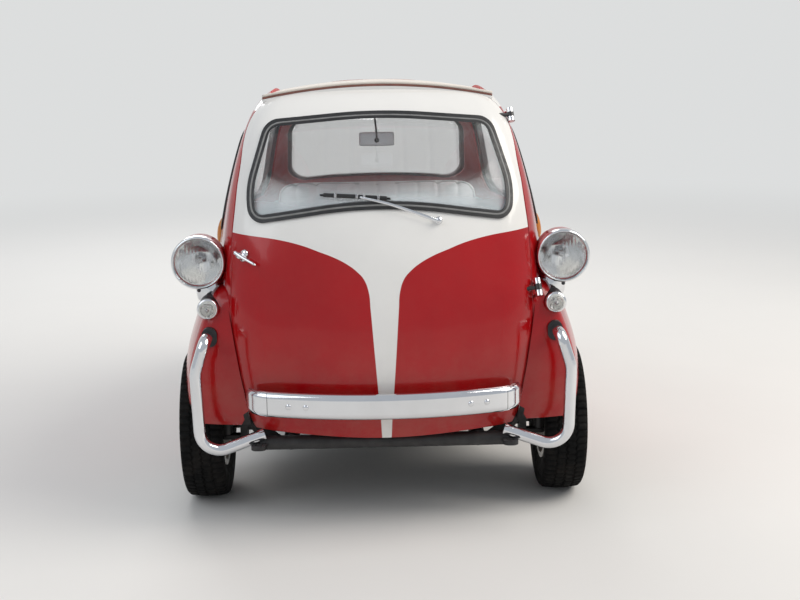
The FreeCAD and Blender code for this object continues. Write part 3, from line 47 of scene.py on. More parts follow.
# Plan measures where lines aimed at the skins start: ahead of the nose, behind the tail, off each side.
aimAhead, aimBehind, aimAside = -200, 2600, 900
print("stage: frame loaded")


# Plan measures in millimetres (across, back from the nose, up) become world metres.
def place(x, back, z):
    x, back, z = np.broadcast_arrays(*(np.asarray(value, float) for value in (x, back, z)))
    return np.stack([x, back - carLength / 2, z], axis=-1) / 1000


def unit(ways):
    ways = np.asarray(ways, float)
    return ways / np.linalg.norm(ways, axis=-1, keepdims=True)


def roundTurn(count):
    return np.linspace(0, 2 * np.pi, count, endpoint=False)


# Quads between neighbours of a grid of points, closed round where asked.
def weave(rows, columns, closeRows, closeColumns):
    first = np.arange(rows if closeRows else rows - 1)[:, None]
    second = np.arange(columns if closeColumns else columns - 1)[None, :]
    nextFirst, nextSecond = (first + 1) % rows, (second + 1) % columns
    corners = np.broadcast_arrays(first * columns + second, nextFirst * columns + second,
                                  nextFirst * columns + nextSecond, first * columns + nextSecond)
    return np.stack(corners, axis=-1).reshape(-1, 4)


def linked(name, data):
    made = bpy.data.objects.new(name, data)
    scene.collection.objects.link(made)
    return made


# Several grids, each (points, close rows, close columns), become one welded, smooth piece on a body.
def makePiece(name, grids, body, finish):
    points, quads, count = [], [], 0
    for grid, closeRows, closeColumns in grids:
        quads.append(weave(*grid.shape[:2], closeRows, closeColumns) + count)
        points.append(grid.reshape(-1, 3))
        count += len(points[-1])
    mesh = bpy.data.meshes.new(name)
    mesh.from_pydata(np.concatenate(points), [], np.concatenate(quads))
    work = bmesh.new()
    work.from_mesh(mesh)
    bmesh.ops.remove_doubles(work, verts=work.verts, dist=1e-6)
    bmesh.ops.dissolve_degenerate(work, edges=work.edges, dist=1e-7)
    bmesh.ops.recalc_face_normals(work, faces=work.faces)
    work.to_mesh(mesh)
    work.free()
    mesh.polygons.foreach_set("use_smooth", np.full(len(mesh.polygons), True))
    mesh.materials.append(finish)
    piece = linked(name, mesh)
    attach(piece, body)
    return piece


# Turned form: centre + way * along + radius * (cos, sin) for each (along, radius) in millimetres.
def turned(centre, way, profile, steps):
    way = unit(way)
    one = unit(np.cross(way, (0, 0, 1.0) if abs(way[2]) < 0.9 else (1.0, 0, 0)))
    two = np.cross(way, one)
    profile = np.asarray(profile, float) / 1000
    angle = roundTurn(steps)[:, None, None]
    along, radius = profile[None, :, 0, None], profile[None, :, 1, None]
    return np.asarray(centre) + way * along + radius * (np.cos(angle) * one + np.sin(angle) * two)


# A piece of (centre, way, profile, steps) turned forms; a profile that starts off the axis is a closed ring.
def turnedPiece(name, body, finish, *forms):
    return makePiece(name, [(turned(*form), True, form[2][0][1] > 0) for form in forms], body, finish)


# Points spread evenly along a line of points by its length.
def evenly(line, count, closed=False):
    length = np.concatenate([[0], np.cumsum(np.linalg.norm(np.diff(line, axis=0), axis=1))])
    wanted = np.linspace(0, length[-1], count, endpoint=not closed)
    return np.stack([np.interp(wanted, length, column) for column in line.T], axis=-1)


# Catmull-Rom curve through the points, sampled evenly.
def flowing(points, count):
    points = np.asarray(points, float)
    ring = np.concatenate([2 * points[:1] - points[1:2], points, 2 * points[-1:] - points[-2:-1]])
    spans = len(points) - 1
    t = np.linspace(0, spans, count * 4 + 1)
    index = np.minimum(t.astype(int), spans - 1)
    u = (t - index)[:, None]
    a, b, c, d = (ring[index + step] for step in range(4))
    curve = 0.5 * (2 * b + (c - a) * u + (2 * a - 5 * b + 4 * c - d) * u ** 2
                   + (3 * b - a - 3 * c + d) * u ** 3)
    return evenly(curve, count)


# A ring of (side, up) offsets in millimetres carried along a path; up is the given way made square to it.
def carried(path, ring, upWay, closed=False, taper=1.0):
    forward = unit(np.roll(path, -1, 0) - np.roll(path, 1, 0) if closed else np.gradient(path, axis=0))
    upWay = np.broadcast_to(np.asarray(upWay, float), path.shape)
    upWay = unit(upWay - forward * np.sum(upWay * forward, axis=1, keepdims=True))
    sideWay = np.cross(forward, upWay)
    ring = np.asarray(ring, float) / 1000
    size = np.ones(len(path)) * taper
    if not closed:
        path, sideWay, upWay = (np.concatenate([part[:1], part, part[-1:]])
                                for part in (path, sideWay, upWay))
        size = np.concatenate([[0], size, [0]])
    offset = sideWay[:, None] * ring[None, :, 0, None] + upWay[:, None] * ring[None, :, 1, None]
    return path[:, None] + offset * size[:, None, None]


# A piece of carried forms with closed ends.
def carriedPiece(name, body, finish, *grids):
    return makePiece(name, [(grid, False, True) for grid in grids], body, finish)


# A rounded oblong ring: superellipse |x/a|^n + |y/b|^n = 1.
def oblong(wide, high, count=16, power=2.0):
    angle = roundTurn(count)
    ways = np.stack([np.cos(angle), np.sin(angle)], axis=-1)
    return np.sign(ways) * np.abs(ways) ** (2 / power) * (wide, high)


# Points round an outline of (u, v, radius) corners, each corner an arc, evenly spread.
def roundedLine(corners, count):
    spots, radius = corners[:, :2], corners[:, 2]
    toBefore, toAfter = unit(np.roll(spots, 1, 0) - spots), unit(np.roll(spots, -1, 0) - spots)
    half = np.arccos(np.clip(np.sum(toBefore * toAfter, axis=1), -1, 1)) / 2
    centre = spots + unit(toBefore + toAfter) * (radius / np.sin(half))[:, None]
    start, end = (spots + way * (radius / np.tan(half))[:, None] for way in (toBefore, toAfter))
    begin, finish = (np.arctan2(*(spot - centre).T[::-1]) for spot in (start, end))
    sweep = (finish - begin + np.pi) % (2 * np.pi) - np.pi
    angle = begin[:, None] + sweep[:, None] * np.linspace(0, 1, 24)
    arcs = centre[:, None] + radius[:, None, None] * np.stack([np.cos(angle), np.sin(angle)], -1)
    line = arcs.reshape(-1, 2)
    return evenly(np.concatenate([line, line[:1]]), count, closed=True)


def readOut(items, label):
    values = np.empty(len(items) * 3)
    items.foreach_get(label, values)
    return values.reshape(-1, 3)


def skinTree(*names):
    points, faces, count = [], [], 0
    for name in names:
        mesh = nodes[name].data
        points += list(map(tuple, readOut(mesh.vertices, "co")))
        faces += [[corner + count for corner in polygon.vertices] for polygon in mesh.polygons]
        count = len(points)
    return BVHTree.FromPolygons(points, faces)


# Where lines from the starts along a way run into a skin, with the skin's outward directions there.
def ontoSkin(tree, starts, way):
    hits = [tree.ray_cast(Vector(start), Vector(way)) for start in starts]
    last = next(hit for hit in hits if hit[0] is not None)
    spots, outward = [], []
    for hit in hits:
        last = hit if hit[0] is not None else last
        facing = -1 if last[1].dot(Vector(way)) > 0 else 1
        spots.append(last[0])
        outward.append(last[1] * facing)
    return np.array(spots), np.array(outward)


# Where (across, up) points land on a skin when they move in from ahead of the nose.
def fromAhead(tree, line):
    line = np.asarray(line, float)
    return ontoSkin(tree, place(line[:, 0], aimAhead, line[:, 1]), (0, 1, 0))


# A new material and a way to add nodes to it; sockets given as inputs are linked, plain values are set.
def newMaterial(name, colour, rough, metal=0.0, **more):
    material = bpy.data.materials.new(name)
    material.use_nodes = True
    tree = material.node_tree
    shader = tree.nodes["Principled BSDF"]
    shader.inputs["Base Color"].default_value = (*colour, 1)
    shader.inputs["Roughness"].default_value = rough
    shader.inputs["Metallic"].default_value = metal
    for label, value in more.items():
        shader.inputs[label.replace("_", " ")].default_value = value

    def add(kind, inputs=None, **settings):
        node = tree.nodes.new("ShaderNode" + kind)
        for label, value in settings.items():
            setattr(node, label, value)
        for label, value in (inputs or {}).items():
            if isinstance(value, bpy.types.NodeSocket):
                tree.links.new(value, node.inputs[label])
            else:
                node.inputs[label].default_value = value
        return node

    def join(output, label):
        tree.links.new(output, shader.inputs[label])
    point = add("TexCoord").outputs["Object"]
    return material, add, join, point


def noise(add, point, scale, detail, rough=0.5):
    inputs = {"Vector": point, "Scale": scale, "Detail": detail, "Roughness": rough}
    return add("TexNoise", inputs).outputs["Fac"]


# A value between start and end becomes one between low and high, in a straight line or, for spread, smoothly.
def ramp(add, value, start, end, low=0, high=1, kind="LINEAR"):
    inputs = {"Value": value, "From Min": start, "From Max": end, "To Min": low, "To Max": high}
    return add("MapRange", inputs, interpolation_type=kind).outputs["Result"]


def spread(add, value, low, high, start=0.3, end=0.7):
    return ramp(add, value, start, end, low, high, "SMOOTHSTEP")


# Cloudy noise as a value from low to high.
def cloud(add, point, scale, detail, rough=0.5, low=0, high=1, start=0.3, end=0.7):
    return spread(add, noise(add, point, scale, detail, rough), low, high, start, end)


def reckoned(add, operation, *values):
    return add("Math", dict(enumerate(values)), operation=operation).outputs["Value"]


def mixed(add, share, one, two):
    node = add("Mix", {"Factor": share}, data_type="RGBA")
    for socket, value in ((node.inputs[6], one), (node.inputs[7], two)):
        if isinstance(value, bpy.types.NodeSocket):
            node.id_data.links.new(value, socket)
        else:
            socket.default_value = (*value, 1)
    return node.outputs[2]


# Between darker and lighter tones of one colour.
def varied(add, share, colour, low, high):
    return mixed(add, share, *([min(part * tone, 1) for part in colour] for tone in (low, high)))


def bumped(add, join, height, strength, distance):
    inputs = {"Height": height, "Strength": strength, "Distance": distance}
    join(add("Bump", inputs).outputs["Normal"], "Normal")


# Gloss paint: slow colour drift, orange peel, a film of road dust that thickens towards the sills.
def glossPaint(name, colour, second=None, dust=0.16, cap=None):
    material, add, join, point = newMaterial(
        name, colour, 0.16, Coat_Weight=0.22, Coat_Roughness=0.03, Specular_IOR_Level=0.38)
    drift = cloud(add, point, 3.1, 5)
    base = varied(add, drift, colour, 0.9, 1.07)
    apart = add("SeparateXYZ", {"Vector": point}).outputs
    if second:
        share = capShare(add, apart, **cap) if cap else spearShare(add, apart)
        base = mixed(add, share, base, varied(add, drift, second, 0.96, 1.02))
    low = ramp(add, apart["Z"], 0.26, 0.62, 1, 0.12)
    grit = reckoned(add, "MULTIPLY", cloud(add, point, 9, 8, 0.7, 0, dust), low)
    join(mixed(add, grit, base, (0.33, 0.25, 0.18)), "Base Color")
    join(ramp(add, grit, 0, 0.5, 0.14, 0.5), "Roughness")
    bumped(add, join, noise(add, point, 210, 2), 0.035, 0.0006)
    return material


# The white upper part of the door and its spear: half width in millimetres against height in metres.
spear = {"centre": 0.006, "low": 0.26, "high": 0.91, "reach": 0.5, "edge": 0.0008,
         "line": (
             (0.26, 13), (0.30, 15), (0.358, 17.5), (0.447, 24), (0.563, 32.5), (0.695, 42), (0.742, 46),
             (0.78, 59), (0.804, 80), (0.826, 110), (0.846, 150), (0.862, 194), (0.878, 240), (0.894, 312),
             (0.903, 390), (0.91, 500))}


def spearShare(add, apart):
    shape = add("FloatCurve", {"Value": ramp(add, apart["Z"], spear["low"], spear["high"])})
    curve = shape.mapping.curves[0]
    spots = [((z - spear["low"]) / (spear["high"] - spear["low"]), half / 1000 / spear["reach"])
             for z, half in spear["line"]]
    curve.points[0].location, curve.points[1].location = spots[0], spots[-1]
    for spot in spots[1:-1]:
        curve.points.new(*spot)
    shape.mapping.update()
    half = reckoned(add, "MULTIPLY", shape.outputs["Value"], spear["reach"])
    away = reckoned(add, "ABSOLUTE", reckoned(add, "SUBTRACT", apart["X"], spear["centre"]))
    return spread(add, reckoned(add, "SUBTRACT", half, away), 0, 1, -spear["edge"], spear["edge"])


# White cap of the shell round the roof's front: above a height and ahead of a plane across the car.
def capShare(add, apart, height, back):
    above = ramp(add, apart["Z"], height - 0.001, height + 0.001)
    ahead = ramp(add, apart["Y"], back + 0.001, back - 0.001)
    return reckoned(add, "MULTIPLY", above, ahead)


# Plain surfaces with drift in colour, gloss and fine grain.
def surface(name, colour, rough, metal=0.0, drift=0.15, scale=14.0, grain=300.0, bump=0.05, uneven=0.12,
            **more):
    material, add, join, point = newMaterial(name, colour, rough, metal, **more)
    wander = cloud(add, point, scale, 6, 0.6)
    join(varied(add, wander, colour, 1 - drift, 1 + drift), "Base Color")
    low, high = max(rough - uneven, 0.02), min(rough + uneven, 1)
    join(cloud(add, point, scale * 2.3, 5, 0.7, low, high), "Roughness")
    bumped(add, join, noise(add, point, grain, 3), bump, 0.0008)
    return material


# Inside of the shell: pale trim below a height, gloss body red above it; the red given here is painted
# lighter than the outer paint, as painted light against the cabin's shade.
def cabinFinish(name, pale, red, height):
    material, add, join, point = newMaterial(name, pale, 0.4)
    drift = cloud(add, point, 6, 6, 0.6)
    share = ramp(add, add("SeparateXYZ", {"Vector": point}).outputs["Z"], height - 0.001, height + 0.001)
    low = varied(add, drift, pale, 0.94, 1.05)
    high = varied(add, drift, red, 0.9, 1.07)
    join(mixed(add, share, low, high), "Base Color")
    join(cloud(add, point, 31, 5, 0.5, 0.3, 0.5), "Roughness")
    bumped(add, join, noise(add, point, 420, 3), 0.05, 0.0006)
    return material


# Clear glass with a faint tint, a little dust and slow waviness.
def clearGlass(name, tint, rough, ior, wave=0.02, scale=7.0, **more):
    material, add, join, point = newMaterial(name, tint, rough, Transmission_Weight=1.0, IOR=ior, **more)
    join(varied(add, cloud(add, point, 5, 4), tint, 0.97, 1), "Base Color")
    join(cloud(add, point, 24, 6, 0.7, rough, rough + 0.03, 0.5, 0.8), "Roughness")
    bumped(add, join, noise(add, point, scale, 2), wave, 0.002)
    return material


# The windscreen carries a pale film, partly dust and partly painted reflection haze, that thickens below a
# height: smooth((1.09 - z) / 0.11) noise.
def dustAndHazeGlass(name, tint, film):
    material, add, join, point = newMaterial(name, tint, 0.0, IOR=1.45)
    low = spread(add, add("SeparateXYZ", {"Vector": point}).outputs["Z"], 1, 0, 0.98, 1.09)
    share = reckoned(add, "MULTIPLY", low, cloud(add, point, 3, 5, 0.5, 0.8, 1))
    join(mixed(add, share, tint, film), "Base Color")
    # Where the film lies, the glass turns pale, diffuse and less clear: a painted reflection haze over some
    # dust.
    filmLooks = (("Alpha", 0.17, 0.52), ("Transmission Weight", 1.0, 0.2), ("Roughness", 0.0, 0.2))
    for label, clear, filmed in filmLooks:
        join(ramp(add, share, 0, 1, clear, filmed), label)
    return material


# Woven or coated cloth: two crossed waves give the threads, noise gives the wear.
def cloth(name, colour, threads, rough=0.85, bump=0.35, sheen=0.3):
    material, add, join, point = newMaterial(name, colour, rough, Sheen_Weight=sheen)
    waves = [add("TexWave", {"Vector": point, "Scale": threads, "Distortion": 0.6, "Detail": 1.0},
                 bands_direction=way).outputs["Fac"] for way in ("X", "Y")]
    both = reckoned(add, "MULTIPLY", *waves)
    worn = cloud(add, point, 5, 6, 0.65)
    tone = varied(add, worn, colour, 0.82, 1.08)
    join(mixed(add, both, tone, [part * 0.8 for part in colour]), "Base Color")
    join(spread(add, worn, rough - 0.1, min(rough + 0.08, 1), 0, 1), "Roughness")
    bumped(add, join, both, bump, 0.0006)
    return material


# Tyre rubber: dusty in places over near black.
def tyreFinish():
    material, add, join, point = newMaterial("tyreRubber", (0.02, 0.019, 0.018), 0.8, Specular_IOR_Level=0.1)
    filmed = cloud(add, point, 16, 8, 0.7, 0, 0.45, 0.4, 0.75)
    join(mixed(add, filmed, (0.006, 0.006, 0.006), (0.032, 0.027, 0.023)), "Base Color")
    join(cloud(add, point, 50, 4, 0.5, 0.66, 0.92), "Roughness")
    bumped(add, join, noise(add, point, 420, 4), 0.25, 0.0008)
    return material


red, white = (0.37, 0.0015, 0.004), (0.79, 0.775, 0.745)
# The cabin red is the body red painted lighter: painted light that makes up for the shade inside the cabin
# and behind the door.
cabinPale, cabinRedPaintedLight = (0.80, 0.83, 0.84), (0.52, 0.008, 0.016)
redPaint = glossPaint("redPaint", red)
shellPaint = glossPaint("shellPaint", red, white, cap={"height": 1.262, "back": -0.6175})
whitePaint = glossPaint("whitePaint", white, dust=0.05)
twoTone = glossPaint("twoTonePaint", red, white)
cabinPaint = cabinFinish("cabinPaint", cabinPale, cabinRedPaintedLight, 0.838)
doorLining = cabinFinish("doorLining", cabinPale, cabinRedPaintedLight, 0.905)
underseal = surface("underseal", (0.022, 0.02, 0.019), 0.85, drift=0.5, scale=30, grain=120, bump=0.6)
frameBlack = surface("frameBlack", (0.02, 0.019, 0.019), 0.5, drift=0.4, scale=20, grain=160, bump=0.12)
chrome = surface("chrome", (0.74, 0.75, 0.77), 0.1, 1.0, drift=0.03, scale=9, grain=700, bump=0.012,
                 uneven=0.05)
steel = surface("brightSteel", (0.5, 0.5, 0.51), 0.32, 1.0, drift=0.12, scale=40, grain=400)
engineGrey = surface("engineGrey", (0.14, 0.145, 0.15), 0.5, 0.6, drift=0.25, scale=18, grain=240, bump=0.2)
rubber = surface("sealRubber", (0.014, 0.014, 0.015), 0.48, drift=0.35, scale=26, grain=420, bump=0.06)
trimGrey = surface("sealTrim", (0.19, 0.19, 0.185), 0.4, scale=30, grain=420)
wheelPaint = surface("wheelPaint", (0.62, 0.60, 0.55), 0.3, drift=0.08, scale=12, grain=350, bump=0.03)
ivory = surface("ivoryPlastic", (0.62, 0.57, 0.46), 0.28, drift=0.06, scale=10, bump=0.02)
darkPlastic = surface("darkPlastic", (0.02, 0.02, 0.021), 0.4, drift=0.3, scale=20, grain=500)
floorMat = surface("floorMat", (0.05, 0.048, 0.046), 0.8, drift=0.3, scale=22, grain=260, bump=0.5)
mirrorBack = surface("mirrorBack", (0.85, 0.87, 0.90), 0.36, drift=0.06, grain=500, bump=0.02)
mirrorFace = surface("mirrorFace", (0.86, 0.87, 0.88), 0.03, 1.0, drift=0.02, grain=900, bump=0.002,
                     uneven=0.02)
silvered = surface("silveredBowl", (0.88, 0.88, 0.87), 0.06, 1.0, drift=0.03, scale=20, grain=600, bump=0.01,
                   uneven=0.03)
redLens = surface(
    "redLens", (0.50, 0.006, 0.006), 0.1, drift=0.1, scale=60, grain=150, bump=0.25,
    Transmission_Weight=0.15, Coat_Weight=0.6)
amberLens = surface(
    "amberLens", (0.68, 0.24, 0.03), 0.1, drift=0.1, scale=60, grain=150, bump=0.25,
    Transmission_Weight=0.25, Coat_Weight=0.4)
pearlLens = surface(
    "pearlLens", (0.70, 0.70, 0.66), 0.12, drift=0.12, scale=60, grain=260, bump=0.12,
    Transmission_Weight=0.25, Coat_Weight=0.6)
screenGlass = clearGlass("screenGlass", (0.95, 0.975, 0.97), 0.0, 1.45, 0.002, Alpha=0.17)
# The windscreen's pale bluish film colour is painted reflection haze over some dust.
frontGlass = dustAndHazeGlass("frontGlass", (0.95, 0.975, 0.97), (0.80, 0.88, 0.91))
lensGlass = clearGlass("lensGlass", (0.99, 0.99, 0.985), 0.0, 1.4, Alpha=0.75)
# The roof beading's dark brown is painted shade: it stands for the shaded front edge of the roof cloth.
shadedRoofBeading = surface("shadedRoofBeading", (0.20, 0.075, 0.055), 0.45, drift=0.2, scale=30, grain=600, bump=0.1)
roofCloth = cloth("roofCloth", (0.70, 0.64, 0.57), 420, 0.75, 0.25, 0.15)
# The seat cloth is a pale bluish cloth painted lighter still, near white: painted light that makes up for the
# shade inside the cabin.
seatClothPaintedLight = cloth("seatClothPaintedLight", (0.86, 0.90, 0.92), 300)
seatPiping = cloth("seatPiping", (0.40, 0.42, 0.43), 500, 0.6, 0.15)
tyreRubber = tyreFinish()
print("stage: materials")

# Which finish each carried-over part wears; parts not named here get finishes face by face below, or are
# hidden and replaced by detailed pieces.
looks = {
    chrome: ["guard_tubes", "headlamp_rims", "fuel_cap", "hinge_brackets", "door_bumper", "door_handle"],
    darkPlastic: ["hinge_arms"],
    screenGlass: ["body_glass"],
    frontGlass: ["windscreen"],
    rubber: ["window_seals", "windscreen_seal", "guard_grommets", "small_lamp_bodies"],
    ivory: ["steering_wheel", "steering_column"],
    frameBlack: ["chassis_frame", "suspension", "cabin_controls", "knuckle_left", "knuckle_right",
                 "track_rod"],
    engineGrey: ["chain_case", "engine_block"],
    steel: ["rear_axle_shaft", "exhaust"],
    floorMat: ["floor_pan", "parcel_shelf", "seat_base"],
}
for finish, names in looks.items():
    for name in names:
        nodes[name].data.materials.clear()
        nodes[name].data.materials.append(finish)


# A part with more than one finish: each face takes the number that a rule gives from its middle and facing.
def byFace(name, finishes, rule):
    mesh = nodes[name].data
    mesh.materials.clear()
    for finish in finishes:
        mesh.materials.append(finish)
    middles = readOut(mesh.polygons, "center") * 1000 + (0, carLength / 2, 0)
    numbers = rule(middles, readOut(mesh.polygons, "normal"))
    mesh.polygons.foreach_set("material_index", numbers.astype(np.int32))
    mesh.update()


# Where finishes change, in millimetres: inside and outside are told apart by a line through the middle of the
# shell (from, to, up) or of the door (back, from, to), underseal lies round the wheels and underneath.
change = {"shellLine": (560, 1500, 800), "doorLine": (640, 500, 1000), "arch": 272, "archFrom": 380,
          "archTo": 420, "under": 600, "noseUp": 350, "noseBack": 330, "noseAside": 430, "hubcap": 84.5,
          "hubcapOut": 30}


def shellRule(middle, facing):
    aside, back, up = np.abs(middle[:, 0]), middle[:, 1], middle[:, 2]
    start, end, level = change["shellLine"]
    core = np.stack([0 * aside, np.clip(back, start, end), np.full(len(middle), level)], -1)
    inside = np.sum((middle - core) * facing, axis=1) < 0
    front, rear = (np.hypot(back - axleBack[axle], up - tyreRadius) < change["arch"]
                   for axle in ("front", "rear"))
    arch = front & (aside > change["archFrom"]) & (np.abs(facing[:, 0]) < 0.9)
    arch |= rear & (aside < change["archTo"])
    below = (facing[:, 2] < -0.7) & (up < change["under"])
    below |= (up < change["noseUp"]) & (back < change["noseBack"]) & (aside < change["noseAside"])
    return np.where(arch | below, 2, np.where(inside, 1, 0))


def doorRule(middle, facing):
    back, low, high = change["doorLine"]
    core = np.stack([0 * middle[:, 0], np.full(len(middle), back), np.clip(middle[:, 2], low, high)], -1)
    inside = np.sum((middle - core) * facing, axis=1) < 0
    return np.where(inside | (facing[:, 1] > 0.3), 1, 0)


def wheelRule(axle):
    def rule(middle, facing):
        radius = np.hypot(middle[:, 1] - axleBack[axle], middle[:, 2] - tyreRadius)
        out = np.abs(middle[:, 0]) - wheelAside[axle]
        return np.where((radius < change["hubcap"]) & (out > change["hubcapOut"]), 1, 0)
    return rule


# The bowl behind each lens is the part of the pod near the lens that looks ahead.
headlamp = {"x": 563, "face": 238, "z": 815, "glass": 73.6, "dome": 15.5, "thick": 3.5, "flute": 11.0,
            "relief": 0.28, "bowl": 70.5, "bowlBack": 252.5}


def podRule(middle, facing):
    radius = np.hypot(np.abs(middle[:, 0]) - headlamp["x"], middle[:, 2] - headlamp["z"])
    inBowl = (radius < headlamp["bowl"]) & (middle[:, 1] > headlamp["bowlBack"])
    return np.where(inBowl & (facing[:, 1] < -0.2), 1, 0)


byFace("body_shell", [shellPaint, cabinPaint, underseal], shellRule)
byFace("door_panel", [twoTone, doorLining], doorRule)
byFace("hatch_panel", [redPaint, underseal], lambda middle, facing: np.where(facing[:, 0] > 0.4, 1, 0))
byFace("headlamp_pods", [redPaint, silvered], podRule)
for side in sides:
    byFace("wheel_front_" + side, [wheelPaint, chrome], wheelRule("front"))
byFace("wheels_rear", [wheelPaint, chrome], wheelRule("rear"))
byFace("small_lamp_lenses", [pearlLens, redLens], lambda middle, facing: (middle[:, 1] > 1000).astype(int))
print("stage: finishes on the carried-over parts")

# Tyres: a closed section turned about the axle. Radius loses depth * groove(angle, across), where the grooves
# are three zigzag rings |x - ring - zig * triangle(pitches * angle)| < width, bars across each shoulder and
# thin cuts between the rings. The wall runs from the tread's edge to the bead and back inside: (radius, x).
tread = {"half": 56, "fall": 5.0, "depth": 5.5, "rings": (-30, 0, 30), "width": 2.6, "zig": 3.2,
         "pitches": 66, "bar": 0.17, "barFrom": 34, "cut": 0.11, "cutFrom": 5, "cutTo": 27, "steps": 528,
         "edge": 60, "ribs": (146, 216),
         "wall": ((235.5, 59.5), (231.5, 63.6), (226, 66.4), (213, 66.9), (198, 66.7), (182, 65.6),
                  (166, 62.6), (152, 58.2), (145, 55.4), (137, 54.0), (130.6, 53.6), (131.0, 46), (160, 55),
                  (205, 59), (228, 48), (231, 0))}


def tyreGrid(centreX, back, outward):
    across = np.linspace(-tread["half"], tread["half"], 61)
    crown = tyreRadius - tread["fall"] * (across / tread["half"]) ** 2
    wall = np.array(tread["wall"])
    radius = np.concatenate([crown, wall[:, 0], wall[-2::-1, 0]])
    x = np.concatenate([across, wall[:, 1], -wall[-2::-1, 1]])
    far = np.abs(x)
    angle = roundTurn(tread["steps"])[:, None]
    turn = (angle * tread["pitches"] / (2 * np.pi)) % 1
    triangle = 4 * np.abs(turn - 0.5) - 1
    deep = np.zeros((tread["steps"], len(x)))
    for ring in tread["rings"]:
        away = np.abs(x - ring - tread["zig"] * triangle) / tread["width"]
        deep = np.maximum(deep, np.clip(1.6 - away, 0, 1))
    swing = (turn + 0.35 * (x > 0)) % 1
    bars = np.clip(1.7 - np.abs(swing - 0.5) / tread["bar"] * 1.3, 0, 1) * (far > tread["barFrom"])
    cuts = np.clip(1.4 - np.abs((swing + 0.5) % 1 - 0.5) / tread["cut"], 0, 1) * 0.6
    cuts = cuts * (far < tread["cutTo"]) * (far > tread["cutFrom"])
    onTread = (far <= tread["edge"]) & (radius > 233)
    deep = np.maximum(np.maximum(deep, bars), cuts) * onTread
    low, high = tread["ribs"]
    ribs = 0.7 * np.clip(np.sin((radius - 150) / 5.0), 0, 1) * ((radius > low) & (radius < high))
    ribs = ribs * (far > tread["half"])
    grown = radius - tread["depth"] * deep
    return place(centreX + outward * (x + np.sign(x) * ribs), back + grown * np.sin(angle),
                 tyreRadius + grown * np.cos(angle))


# Each wheel: its label, the body it rides on, its middle across and back, and its outward sign.
wheels = [(axle + "_" + side, f"front_{side}_wheel" if axle == "front" else "rear_wheels",
           wheelAside[axle] * sign, axleBack[axle], sign)
          for axle in ("front", "rear") for side, sign in sides.items()]
for label, body, *spot in wheels:
    piece = makePiece("tyreTread_" + label, [(tyreGrid(*spot), True, True)], body, tyreRubber)
    if label.startswith("front"):
        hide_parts("tyre_" + label)
    elif label == "rear_left":
        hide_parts("tyres_rear")
print("stage: tyres")

# Wheel dressing: a ring of eight studs and a valve on each rim.
dressing = {"studs": 94, "first": 0.39, "studOut": 29, "valve": 112, "valveOut": 30,
            "stud": [(0, 0), (0, 6), (3.4, 5.2), (4.4, 3), (4.6, 0)],
            "stem": [(-8, 0), (-8, 4.4), (10, 4), (12, 2.8), (24, 2.8), (25, 2), (25, 0)]}
for label, body, x, back, out in wheels:
    turn = np.arange(8) * math.pi / 4 + dressing["first"]
    spots = place(x + out * dressing["studOut"], back + dressing["studs"] * np.sin(turn),
                  tyreRadius + dressing["studs"] * np.cos(turn))
    studs = ((spot, (out, 0, 0), dressing["stud"], 18) for spot in spots)
    turnedPiece("rimStuds_" + label, body, steel, *studs)
    spot = place(x + out * dressing["valveOut"], back, tyreRadius + dressing["valve"])
    turnedPiece("valve_" + label, body, rubber, (spot, (out, 0, 0.25), dressing["stem"], 18))
print("stage: wheel dressing")


# Headlamp lens about its middle: front = face + 4 - dome (1 - reach^2); its inner side lies a thickness
# behind with flutes relief * cos(2 pi aside / flute).
def lensGrid(x):
    radius = headlamp["glass"]
    turn = roundTurn(120)[:, None]
    reach = np.linspace(0, 1, 30)[None, :]
    aside, up = reach * radius * np.sin(turn), reach * radius * np.cos(turn)
    ridges = headlamp["relief"] * np.cos(2 * np.pi * aside / headlamp["flute"])
    ridges = ridges * (np.abs(up) < radius * 0.8) * (reach < 0.93)
    back = headlamp["face"] + 4 - headlamp["dome"] * (1 - reach ** 2)
    front = place(x + aside, back, headlamp["z"] + up)
    rear = place(x + aside, back + headlamp["thick"] + ridges, headlamp["z"] + up)
    return np.concatenate([front, rear[:, ::-1]], axis=1)


